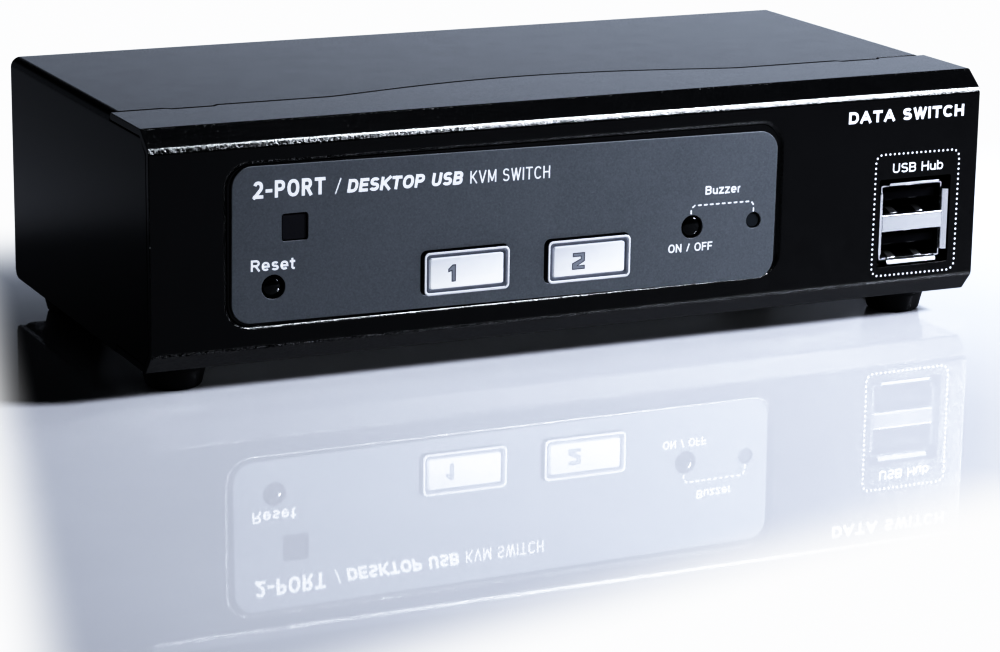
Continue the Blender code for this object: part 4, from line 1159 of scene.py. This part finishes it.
def socket_metalwork(x, z, deep):
    """Leaf springs on the slot floors, and contacts under the tongues."""

    def strip(section, base, middle, half):
        outline = [(deep(depth), base + height) for depth, height in section]
        return prism(outline, "X", middle - half, middle + half)

    springs, contacts = [], []
    for level in (1, -1):
        floor = z + level * (BAR / 2 + SLOT_HEIGHT / 2) - SLOT_HEIGHT / 2
        for shift in (-3.3, 2.3):
            springs.append(strip(spring_section(), floor, x + shift, 0.75))
        underside = floor + SLOT_HEIGHT - TONGUE_DROP - TONGUE_THICK
        for k in range(4):
            contacts.append(strip(CONTACT_SECTION, underside, x + (k - 1.5) * 2.25, 0.5))
    return joined(springs), joined(contacts)


def usb_socket(prefix, y_face, direction, plastic):
    """Stacked pair of USB-A sockets; direction is the way in along Y."""
    centre = centre_mm(f"{prefix}_insulator")
    x, z = centre.x, centre.z

    def deep(depth):
        return y_face + direction * depth

    def span(start, end):
        return min(deep(start), deep(end)), max(deep(start), deep(end))

    shell = socket_shell(f"{prefix}_socket", x, z, deep, span)
    stand_in(shell, f"{prefix}_shell")
    core = piece(f"{prefix}_core", socket_core(x, z, deep, span), plastic)
    stand_in(core, f"{prefix}_insulator")
    springs, contacts = socket_metalwork(x, z, deep)
    for name, solid, material, width in (
        ("springs", springs, NICKEL_SPRING, 0.03),
        ("contacts", contacts, GOLD, 0.04),
    ):
        obj = piece(f"{prefix}_socket_{name}", solid, material)
        soften(obj, width, segments=1, angle=40)
        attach(obj, "housing")


# --------------------------------------------------------------------- letters
SMALL = 0.74        # height of the small letters, against 1 for capitals
SQUARENESS = 0.86   # below 1, arcs bulge towards their corners


def arc(x, y, radius_x, radius_y, start, end, steps=14):
    """Points of a slightly squared ellipse, angles in degrees."""
    out = []
    for i in range(steps + 1):
        angle = math.radians(start + (end - start) * i / steps)
        cos, sin = math.cos(angle), math.sin(angle)
        out.append((
            x + radius_x * math.copysign(abs(cos) ** SQUARENESS, cos),
            y + radius_y * math.copysign(abs(sin) ** SQUARENESS, sin),
        ))
    return out


def line(*points):
    return list(points), False


def stem(x=0.0, top=1.0):
    return line((x, 0.0), (x, top))


def rail(y, x0, x1):
    return line((x0, y), (x1, y))


def bowl(x, low, high, radius):
    bend = arc(x, (low + high) / 2, radius, (high - low) / 2, 90, -90)[1:-1]
    return line((0.0, high), (x, high), *bend, (x, low), (0.0, low))


def double_curve(width, height):
    """The stroke of an S."""
    upper = arc(width / 2, height * 0.755, width * 0.46, height * 0.245, 22, 258, 12)
    lower = arc(width / 2, height * 0.255, width * 0.5, height * 0.255, 78, -160, 12)
    return line(*upper, *lower)


def oval(radius, height, steps):
    return arc(radius, height / 2, radius, height / 2, 0, 360, steps)[:-1], True


def cup(radius, bottom, top, steps):
    """The stroke of a U."""
    bend = arc(radius, bottom, radius, bottom, 180, 360, steps)[1:-1]
    return line((0.0, top), (0.0, bottom), *bend, (2 * radius, bottom), (2 * radius, top))


# letter: (width, centre lines); a centre line is (points, whether it closes)
GLYPHS = {
    "A": (0.76, [line((0, 0), (0.35, 1.0)), line((0.76, 0), (0.41, 1.0)),
                 rail(0.31, 0.14, 0.62)]),
    "B": (0.60, [stem(), bowl(0.33, 0.53, 1.0, 0.25), bowl(0.35, 0.0, 0.53, 0.25)]),
    "C": (0.68, [line(*arc(0.36, 0.5, 0.36, 0.5, 38, 322, 22))]),
    "D": (0.66, [stem(), bowl(0.30, 0.0, 1.0, 0.36)]),
    "E": (0.54, [stem(), rail(1.0, 0, 0.54), rail(0.52, 0, 0.49), rail(0.0, 0, 0.55)]),
    "F": (0.50, [stem(), rail(1.0, 0, 0.50), rail(0.50, 0, 0.44)]),
    "H": (0.64, [stem(), stem(0.64), rail(0.52, 0, 0.64)]),
    "I": (0.0, [stem()]),
    "K": (0.62, [stem(), line((0.60, 1.0), (0.0, 0.36)), line((0.19, 0.56), (0.64, 0.0))]),
    "L": (0.50, [stem(), rail(0.0, 0, 0.50)]),
    "M": (0.80, [stem(), stem(0.80), line((0.02, 1.0), (0.40, 0.06)),
                 line((0.78, 1.0), (0.40, 0.06))]),
    "N": (0.64, [stem(), stem(0.64), line((0.02, 1.0), (0.62, 0.0))]),
    "O": (0.74, [oval(0.37, 1.0, 30)]),
    "P": (0.58, [stem(), bowl(0.32, 0.46, 1.0, 0.27)]),
    "R": (0.62, [stem(), bowl(0.33, 0.48, 1.0, 0.26), line((0.32, 0.48), (0.60, 0.0))]),
    "S": (0.60, [double_curve(0.60, 1.0)]),
    "T": (0.64, [rail(1.0, 0, 0.64), stem(0.32)]),
    "U": (0.62, [cup(0.31, 0.34, 1.0, 14)]),
    "V": (0.70, [line((0.0, 1.0), (0.33, 0.0)), line((0.70, 1.0), (0.37, 0.0))]),
    "W": (0.98, [line((0.0, 1.0), (0.24, 0.0)), line((0.49, 1.0), (0.26, 0.0)),
                 line((0.49, 1.0), (0.72, 0.0)), line((0.98, 1.0), (0.74, 0.0))]),
    "b": (0.54, [stem(), oval(0.27, SMALL, 24)]),
    "e": (0.52, [line((0.02, SMALL * 0.47), (0.52, SMALL * 0.47),
                      *arc(0.26, SMALL / 2, 0.26, SMALL / 2, 8, 316, 20)[1:])]),
    "r": (0.28, [stem(0.0, SMALL),
                 line(*arc(0.28, SMALL * 0.55, 0.28, SMALL * 0.43, 180, 96, 8))]),
    "s": (0.46, [double_curve(0.46, SMALL)]),
    "t": (0.26, [line((0.10, 0.98), (0.10, 0.16), *arc(0.26, 0.16, 0.16, 0.17, 180, 262, 6)[1:]),
                 rail(SMALL, -0.04, 0.26)]),
    "u": (0.48, [cup(0.24, 0.26, SMALL, 12), stem(0.48, SMALL)]),
    "z": (0.44, [rail(SMALL, 0, 0.44), line((0.44, SMALL), (0.0, 0.0)), rail(0.0, 0, 0.46)]),
    "1": (0.34, [stem(0.30), line((0.30, 0.96), (0.02, 0.76))]),
    "2": (0.56, [line(*arc(0.28, 0.71, 0.27, 0.29, 165, -38, 14), (0.0, 0.0)),
                 rail(0.0, 0, 0.58)]),
    "5": (0.56, [line((0.52, 1.0), (0.10, 1.0), (0.05, 0.50),
                      *arc(0.27, 0.33, 0.29, 0.33, 122, -152, 16))]),
    "-": (0.30, [rail(0.40, 0.0, 0.30)]),
    "/": (0.34, [line((0.0, -0.06), (0.34, 1.06))]),
    " ": (0.20, []),
}


def stroke(solid, points, closed, half, place):
    """A flat-ended band of width 2 * half along points, two layers deep."""
    points = [Vector(p) for p in points]
    last = len(points) - 1
    sides = [right_of(a, b) for a, b in zip(points, points[1:] + points[:1])]
    sections = []
    for i, point in enumerate(points):
        before = sides[i - 1] if i or closed else sides[i]
        after = sides[i] if i < last or closed else before
        middle = before + after
        middle = middle.normalized() if middle.length > 1e-6 else before
        shift = middle * (half / max(middle.dot(before), 0.6))
        left, right = point - shift, point + shift
        corners = ((left, 0), (right, 0), (right, 1), (left, 1))
        sections.append([solid.verts.new(place(q.x, q.y, layer)) for q, layer in corners])
    pairs = list(zip(sections, sections[1:]))
    if closed:
        pairs.append((sections[-1], sections[0]))
    for low, high in pairs:
        for k in range(4):
            j = (k + 1) % 4
            solid.faces.new((low[k], low[j], high[j], high[k]))
    if not closed:
        solid.faces.new(list(reversed(sections[0])))
        solid.faces.new(sections[-1])


def stretch_ends(path, more, cap):
    """Carries the ends of an open centre line out to the letter's outer edge."""
    if len(path) == 2 and abs(path[0][1] - path[1][1]) < 1e-9:
        (x0, y0), (x1, y1) = path
        return [(x0 - more, y0), (x1 + more, y1)]
    path = [Vector(p) for p in path]
    for end, inner in ((0, 1), (-1, -2)):
        way = (path[end] - path[inner]).normalized()
        at_line = any(abs(path[end].y - y) < 0.02 * cap for y in (more, cap - more))
        if at_line and abs(way.y) > 0.5:
            path[end] = path[end] + way * (more / abs(way.y))
        elif (at_line or abs(way.y) < 0.05) and abs(way.x) > 0.95:
            path[end] = path[end] + way * more * 0.999
    return [tuple(p) for p in path]


# ------------------------------------------------------------------- lettering
PRINT_THICK = 0.03
PRINT_PROUD = 0.012     # how far print stands off its surface


def lettering(name, text, start, end, cap, y, weight, slant=0.0, gap=0.16, facing=-1):
    """Stroke lettering between two baseline points (x, z), as high as cap.

    Weight, slant and gap are fractions of cap; facing is the way it looks along Y.
    """
    (x0, z0), (x1, z1) = start, end
    run = math.hypot(x1 - x0, z1 - z0)
    way_x, way_z = (x1 - x0) / run, (z1 - z0) / run
    width = weight * cap
    tall = cap - width
    letters = sum(GLYPHS[c][0] for c in text) * tall
    room = run - slant * cap - width * len(text) - gap * cap * (len(text) - 1)
    scale = room / letters
    solid = bmesh.new()
    pen, layer = 0.0, 0
    for letter in text:
        letter_width, strokes = GLYPHS[letter]
        for points, closed in strokes:
            lift = 0.0015 * (layer % 7)     # keeps crossing strokes off one plane
            layer += 1

            def place(along, up, depth, lift=lift):
                return (
                    x0 + along * way_x + facing * up * way_z,
                    y + facing * lift - facing * PRINT_THICK * depth,
                    z0 + along * way_z - facing * up * way_x,
                )

            path = []
            for across, up in points:
                up = width / 2 + up * tall
                path.append((pen + width / 2 + across * tall * scale + slant * up, up))
            if not closed:
                path = stretch_ends(path, width / 2, cap)
            stroke(solid, path, closed, width / 2, place)
        pen += letter_width * tall * scale + width + gap * cap
    bmesh.ops.recalc_face_normals(solid, faces=solid.faces)
    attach(piece(name, solid, PRINT_WHITE), "housing")


def print_marks(name, outlines, y):
    """Flat marks printed on the front, one for each (x, z) outline."""
    parts = [prism(outline, "Y", y, y + PRINT_THICK) for outline in outlines]
    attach(piece(name, joined(parts), PRINT_WHITE), "housing")


def dash(x, z, way, radius, half):
    """A circle drawn out by half to both sides along way."""
    way_x, way_z = way
    outline = []
    for along, across in circle(0.0, 0.0, radius, 16):
        along += half if along >= 0 else -half
        outline.append((
            x + along * way_x - across * way_z,
            z + along * way_z + across * way_x,
        ))
    return outline


def stations(path, pitch, start):
    """Points every pitch along a path, each with the path's direction there."""
    out, need, walked = [], start, 0.0
    for (x0, y0), (x1, y1) in zip(path, path[1:]):
        length = math.dist((x0, y0), (x1, y1))
        way = ((x1 - x0) / length, (y1 - y0) / length)
        while need <= walked + length + 1e-9:
            step = need - walked
            out.append(((x0 + way[0] * step, y0 + way[1] * step), way))
            need += pitch
        walked += length
    return out


FILM_PRINT_Y = FILM_FACE - PRINT_PROUD
FACE_PRINT_Y = FRONT - PRINT_PROUD
FRONT_PRINT = (
    # name, text, baseline start and end (x, z), cap, y, weight, slant, gap
    ("title", "2-PORT", (-62.8, 33.95), (-49.7, 33.80), 3.0, FILM_PRINT_Y, 0.20, 0.0, 0.14),
    ("slash", "/", (-48.0, 33.66), (-46.75, 33.65), 2.7, FILM_PRINT_Y, 0.09, 0.0, 0.16),
    ("family", "DESKTOP USB", (-45.75, 33.70), (-23.9, 33.50), 2.35,
     FILM_PRINT_Y, 0.235, 0.16, 0.10),
    ("kind", "KVM SWITCH", (-22.7, 33.48), (-7.35, 33.32), 2.25,
     FILM_PRINT_Y, 0.115, 0.0, 0.15),
    ("reset", "Reset", (-63.3, 21.40), (-55.25, 21.25), 2.0, FILM_PRINT_Y, 0.19, 0.0, 0.15),
    ("buzzer", "Buzzer", (23.75, 27.80), (31.05, 27.70), 1.6, FILM_PRINT_Y, 0.18, 0.0, 0.15),
    ("on_off", "ON / OFF", (16.5, 17.65), (25.45, 17.55), 1.55, FILM_PRINT_Y, 0.17, 0.0, 0.13),
    ("maker_place", "DATA SWITCH", (53.1, 38.55), (77.85, 38.50), 2.25,
     FACE_PRINT_Y, 0.25, 0.0, 0.14),
    ("usb_hub", "USB Hub", (62.95, 28.72), (73.85, 28.70), 1.8, FACE_PRINT_Y, 0.17, 0.0, 0.13),
)
REAR_PRINT = (      # (name, text, prefix of the sockets it stands over, half length)
    ("rear_pc_1", "PC 1", "pc1", 2.6),
    ("rear_pc_2", "PC 2", "pc2", 2.6),
    ("rear_console", "CONSOLE", "console", 5.2),
)


def make_bracket():
    """Dashed bracket that ties the buzzer key to its lamp."""
    left, right, top, low, radius = 20.95, 33.75, 26.35, 24.75, 1.05
    bends = [
        (radius * math.cos(angle), radius * math.sin(angle))
        for angle in (math.radians(15 * k) for k in range(1, 6))
    ]
    path = [(left, low), (left, top - radius)]
    path += [(left + radius - cos, top - radius + sin) for cos, sin in bends]
    path += [(left + radius, top), (right - radius, top)]
    path += [(right - radius + sin, top - radius + cos) for cos, sin in bends]
    path += [(right, top - radius), (right, low)]
    dashes = [
        dash(*turned(x, z, FILM_X, FILM_Z, -FILM_TURN), way, radius=0.15, half=0.25)
        for (x, z), way in stations(path, pitch=1.22, start=0.42)
    ]
    print_marks("print_bracket", dashes, FILM_PRINT_Y)


def make_hub_frame():
    """Dotted frame round the front socket, a little out of square."""
    centre = (FRONT_USB.x + 0.26, FRONT_USB.z + 1.73)
    outline = rounded_rect(*centre, 17.93, 22.9, 1.5, 8)
    ring = [turned(x, z, *centre, math.radians(-0.3)) for x, z in outline]
    ring.append(ring[0])
    total = sum(math.dist(a, b) for a, b in zip(ring, ring[1:]))
    count = round(total / 0.955)
    spots = stations(ring, pitch=total / count, start=0.0)[:count]
    dots = [circle(x, z, 0.225, 16) for (x, z), _ in spots]
    print_marks("print_hub_frame", dots, FACE_PRINT_Y)


def make_rear_print():
    y = REAR - 0.2 + PRINT_PROUD
    baseline = 28.6
    for name, text, prefix, half in REAR_PRINT:
        x = (centre_mm(f"{prefix}_vga_shell").x + centre_mm(f"{prefix}_usb_shell").x) / 2
        start, end = (x + half, baseline), (x - half, baseline)
        lettering(name, text, start, end, 1.9, y, weight=0.17, facing=1)
    x = centre_mm("dc_jack").x
    start, end = (x + 3.1, baseline - 1.2), (x - 3.1, baseline - 1.2)
    lettering("rear_dc", "DC 5V", start, end, 1.5, y, weight=0.17, facing=1)


# ---------------------------------------------------------------- build pieces
make_bezel()
make_cover()
make_film()
for number in (1, 2):
    make_button(number)
SOCKET_PROUD = 1.1      # the shells' mouths stand this far out from their cores
usb_socket("front_usb", box_mm("front_usb_insulator")[0].y - SOCKET_PROUD, 1, SOCKET_BLACK)
usb_socket("console_usb", box_mm("console_usb_insulator")[1].y + SOCKET_PROUD, -1, SOCKET_WHITE)
for name, *rest in FRONT_PRINT:
    lettering(f"print_{name}", *rest)
make_bracket()
make_hub_frame()
make_rear_print()

refine("base_chassis", CHASSIS_PAINT, width=0.12)
refine("sensor_window", WINDOW_SENSOR, width=0.10)
refine("buzzer_lamp_window", WINDOW_LAMP, width=0.10, angle=50)
refine("reset_button buzzer_button", PLUNGER_BLACK, sharp=48)
refine("pc1_usb_insulator pc2_usb_insulator", SOCKET_WHITE, width=0.10)
refine("pc1_usb_shell pc2_usb_shell", NICKEL, width=0.12)
refine(
    "console_vga_shell pc1_vga_shell pc2_vga_shell",
    NICKEL, width=0.14, segments=3, angle=40,
)
refine(
    "console_vga_insulator pc1_vga_insulator pc2_vga_insulator",
    SOCKET_BLUE, width=0.06, segments=1, angle=65,
)
refine(" ".join(f"jackscrew_{n}" for n in range(1, 7)), NICKEL, width=0.22, angle=50)
refine(
    "cover_screw_left cover_screw_right pcb_screw_left pcb_screw_right",
    ZINC, width=0.06, angle=40,
)
refine("dc_jack", JACK_BLACK, width=0.20, angle=50)
refine(
    "foot_front_left foot_front_right foot_rear_left foot_rear_right",
    RUBBER, width=0.12, angle=30,
)
refine("select_stem_1 select_stem_2", STEM_WHITE, width=0.2)
refine("select_switch_1 select_switch_2", SOCKET_BLACK, width=0.1)
refine("port_led_1 port_led_2", LED_CLEAR, width=0.1)
refine(
    "reset_switch buzzer_switch board_header piezo_buzzer ir_receiver",
    JACK_BLACK, width=0.12, angle=50,
)
refine("buzzer_led", LED_CLEAR)
refine("main_pcb front_pcb", BOARD, width=0.08, segments=1)
refine("controller_chip video_switch_chip usb_hub_chip", CHIP_BLACK, width=0.1)
refine("capacitor_1 capacitor_2", CAN, width=0.1, angle=40)


# ----------------------------------------------------------------------- floor
FLOOR_RINGS = (120.0, 400.0, 1200.0, 4000.0)    # radii
FLOOR_STEPS = 48
SWEEP_BORDERS = (       # (outward x, outward y, distance from the origin, width)
    (-0.97, 0.24, 94.0, 14.0),
    (0.27, -0.96, 137.0, 26.0),
    (0.83, -0.56, 105.0, 30.0),
    (0.0, 1.0, 75.0, 60.0),
)


def floor_material():
    """Pale glossy board round the case, fading to white further out."""
    diffuse_dimming = 0.55              # keeps the board's glow on the case low
    polish_gain, polish_limit = 1.85, 0.85
    mat = Paint("studio_floor")
    x = mat.split(mat.position)[0]
    paths = mat.add("ShaderNodeLightPath").outputs
    soft = paths["Is Diffuse Ray"]
    cloud = mat.noise(size=60.0, seed=1.0, detail=4.0, rough=0.55)
    # painted light: the board is coloured pale at the left, darker towards the right
    base = mat.mix(mat.ramp(x, over=(-110.0, 90.0)), (0.93, 0.93, 0.93), (0.50, 0.50, 0.51))
    base = mat.mix(mat.ramp(cloud, to=(0.0, 0.08)), base, (0.45, 0.45, 0.46))
    base = mat.mix(soft, base, BLACK, strength=diffuse_dimming)
    # painted shade: in reflections the board is darkened towards both ends
    ends = mat.plus(        # mirrored, the board darkens towards both ends
        mat.ramp(x, over=(-95.0, -150.0), to=(0.0, 0.6)),
        mat.ramp(x, over=(70.0, 260.0), to=(0.0, 0.75)),
    )
    base = mat.mix(mat.times(paths["Is Glossy Ray"], ends), base, BLACK)
    matt = mat.add("ShaderNodeBsdfDiffuse", {"Color": base})
    glance = mat.add("ShaderNodeFresnel", {"IOR": 1.8}).outputs[0]
    share = mat.math("MINIMUM", mat.times(glance, polish_gain), polish_limit)
    share = mat.times(share, mat.rest(soft))
    feeds = {"Roughness": 0.022, "Color": mat.mix(share, BLACK, WHITE)}
    polish = mat.add("ShaderNodeBsdfGlossy", feeds)
    board = mat.add("ShaderNodeAddShader", {0: matt.outputs[0], 1: polish.outputs[0]})
    # beyond these soft borders the sweep is white
    white = None
    for out_x, out_y, offset, width in SWEEP_BORDERS:
        beyond = mat.ramp(
            mat.dot(mat.position, Vector((out_x, out_y, 0.0))),
            over=(offset - width / 2, offset + width / 2), kind="SMOOTHSTEP",
        )
        white = beyond if white is None else mat.math("MAXIMUM", white, beyond)
    glow = mat.add("ShaderNodeEmission", {"Color": (0.985, 0.99, 1.0), "Strength": 0.93})
    feeds = {
        0: mat.times(white, paths["Is Camera Ray"]),
        1: board.outputs[0],
        2: glow.outputs[0],
    }
    surface = mat.add("ShaderNodeMixShader", feeds).outputs[0]
    mat.feed(mat.tree.nodes["Material Output"].inputs["Surface"], surface)
    return mat.material


def make_floor():
    solid = bmesh.new()
    centre = solid.verts.new((0.0, 0.0, 0.0))
    rings = [
        [solid.verts.new((x, y, 0.0)) for x, y in circle(0.0, 0.0, radius, FLOOR_STEPS)]
        for radius in FLOOR_RINGS
    ]
    for i in range(FLOOR_STEPS):
        j = (i + 1) % FLOOR_STEPS
        solid.faces.new((centre, rings[0][i], rings[0][j]))
        for inner, outer in zip(rings, rings[1:]):
            solid.faces.new((inner[i], outer[i], outer[j], inner[j]))
    piece("studio_floor", solid, floor_material())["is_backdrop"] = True


# ---------------------------------------------------------------------- lights
COOL = (0.84, 0.885, 1.0)
PALE = (0.9, 0.95, 1.0)


def area_light(name, toward, distance, size, power, colour, aim=(0.0, -0.02, 0.025)):
    """A rectangular light, distance away from aim in the direction toward."""
    data = bpy.data.lights.new(name, "AREA")
    data.shape = "RECTANGLE"
    data.size, data.size_y = size
    data.energy = power
    data.color = colour
    obj = bpy.data.objects.new(name, data)
    SCENE.collection.objects.link(obj)
    direction = Vector(toward).normalized()
    obj.location = Vector(aim) + direction * distance
    obj.rotation_mode = "QUATERNION"
    obj.rotation_quaternion = direction.to_track_quat("Z", "Y")
    obj.visible_camera = False
    return obj


def gather(name, wanted):
    """A collection of the pieces whose name passes the test."""
    collection = bpy.data.collections.new(name)
    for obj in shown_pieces():
        if wanted(obj.name):
            collection.objects.link(obj)
    return collection


def make_lights():
    key = area_light(
        "key", toward=(0.763, -0.435, 0.479), distance=0.46, size=(0.10, 0.10),
        power=3.6, colour=COOL,
    )
    casters = gather(
        "key_shadow_casters", lambda name: not name.startswith(("button_", "digit_"))
    )
    key.light_linking.blocker_collection = casters
    accent = area_light(
        "fold_accent", toward=(0.617, -0.562, 0.554), distance=0.60, size=(0.13, 0.52),
        power=25.0, colour=PALE,
    )
    step = area_light(
        "step_accent", toward=(0.389, -0.302, 0.871), distance=0.60, size=(0.12, 0.16),
        power=4.0, colour=PALE, aim=(-0.035, -0.0425, 0.03),
    )
    low = area_light(
        "low_accent", toward=(0.617, -0.562, -0.554), distance=0.60, size=(0.13, 0.40),
        power=11.5, colour=PALE, aim=(0.0, -0.02, -0.025),
    )
    bezel = gather("fold_accent_receivers", lambda name: name == "bezel_panel")
    for lamp in (accent, step, low):        # glints on the bezel only
        lamp.visible_diffuse = False
        lamp.light_linking.receiver_collection = bezel
    low.light_linking.blocker_collection = casters
    rear = area_light(
        "rear_fill", toward=(-0.75, 0.45, 0.50), distance=0.7, size=(0.5, 0.30),
        power=5.0, colour=(0.9, 0.94, 1.0),
    )
    rear.light_linking.receiver_collection = gather("rear_fill_receivers", lambda name: True)
    rear.visible_glossy = False


# ------------------------------------------------------------ world and camera
def make_world():
    """Dim studio; mirror-like surfaces see a pale band low over the floor."""
    world = bpy.data.worlds.new("studio")
    SCENE.world = world
    world.use_nodes = True
    world.node_tree.nodes.clear()
    sky = Nodes(world.node_tree)
    paths = sky.add("ShaderNodeLightPath").outputs
    x, y, z = sky.split(sky.add("ShaderNodeTexCoord").outputs["Generated"])

    def fade(value, over, to):
        return sky.ramp(value, over=over, to=to, kind="SMOOTHSTEP")

    def background(colour, strength):
        feeds = {"Color": colour, "Strength": strength}
        return sky.add("ShaderNodeBackground", feeds).outputs[0]

    def choose(ray, otherwise, chosen):
        feeds = {0: paths[ray], 1: otherwise, 2: chosen}
        return sky.add("ShaderNodeMixShader", feeds).outputs[0]

    low = fade(z, over=(0.20, 0.28), to=(1.0, 0.0))
    right = fade(x, over=(-0.15, 0.60), to=(0.20, 1.12))
    behind = fade(y, over=(-0.25, 0.30), to=(0.12, 1.0))
    high = fade(z, over=(0.45, 0.75), to=(0.010, 0.32))
    left = fade(x, over=(-0.30, -0.60), to=(0.0, 0.35))
    above = fade(z, over=(0.20, 0.36), to=UNIT)
    band = sky.times(low, sky.times(right, behind))
    mirrored = sky.plus(sky.plus(band, high), sky.times(left, above))

    diffuse = background(COOL, strength=0.012)
    glossy = background((0.80, 0.87, 1.0), strength=mirrored)
    camera = background((0.93, 0.95, 0.985), strength=0.9)
    surface = choose("Is Camera Ray", choose("Is Glossy Ray", diffuse, glossy), camera)
    sky.add("ShaderNodeOutputWorld", {"Surface": surface})


def make_camera():
    yaw, pitch, roll = (math.radians(a) for a in (25.146, -14.599, 0.785))
    location = Vector((-0.25231, -0.54364, 0.15189))
    sensor_width = 36.0
    lens_per_width = 3.2569         # focal length over sensor width
    forward = Vector((
        math.sin(yaw) * math.cos(pitch),
        math.cos(yaw) * math.cos(pitch),
        math.sin(pitch),
    ))
    level = Vector((math.cos(yaw), -math.sin(yaw), 0.0))
    upright = level.cross(forward)
    right = level * math.cos(roll) + upright * math.sin(roll)
    up = -level * math.sin(roll) + upright * math.cos(roll)
    data = bpy.data.cameras.new("camera")
    data.sensor_width = sensor_width
    data.lens = lens_per_width * sensor_width
    data.clip_start = 0.01
    camera = bpy.data.objects.new("camera", data)
    SCENE.collection.objects.link(camera)
    rows = [(right[i], up[i], -forward[i], location[i]) for i in range(3)]
    camera.matrix_world = Matrix((*rows, (0.0, 0.0, 0.0, 1.0)))
    SCENE.camera = camera


def grade():
    """Contrast of a studio print: deep shadows, gently rolled highlights."""
    tones = (
        0.008, 0.02, 0.04, 0.07, 0.11, 0.16, 0.23, 0.32, 0.42, 0.53, 0.64, 0.75, 0.85, 0.93,
    )
    pivot, contrast = 0.914, 1.6
    view = SCENE.view_settings
    view.view_transform = "Standard"
    view.look = "None"
    view.use_curve_mapping = True
    mapping = view.curve_mapping
    for tone in tones:
        ratio = (tone / (pivot * (1.0 - tone))) ** contrast
        mapping.curves[3].points.new(tone, ratio / (1.0 + ratio))
    mapping.update()


make_floor()
make_lights()
make_world()
make_camera()
grade()

bpy.context.view_layer.update()
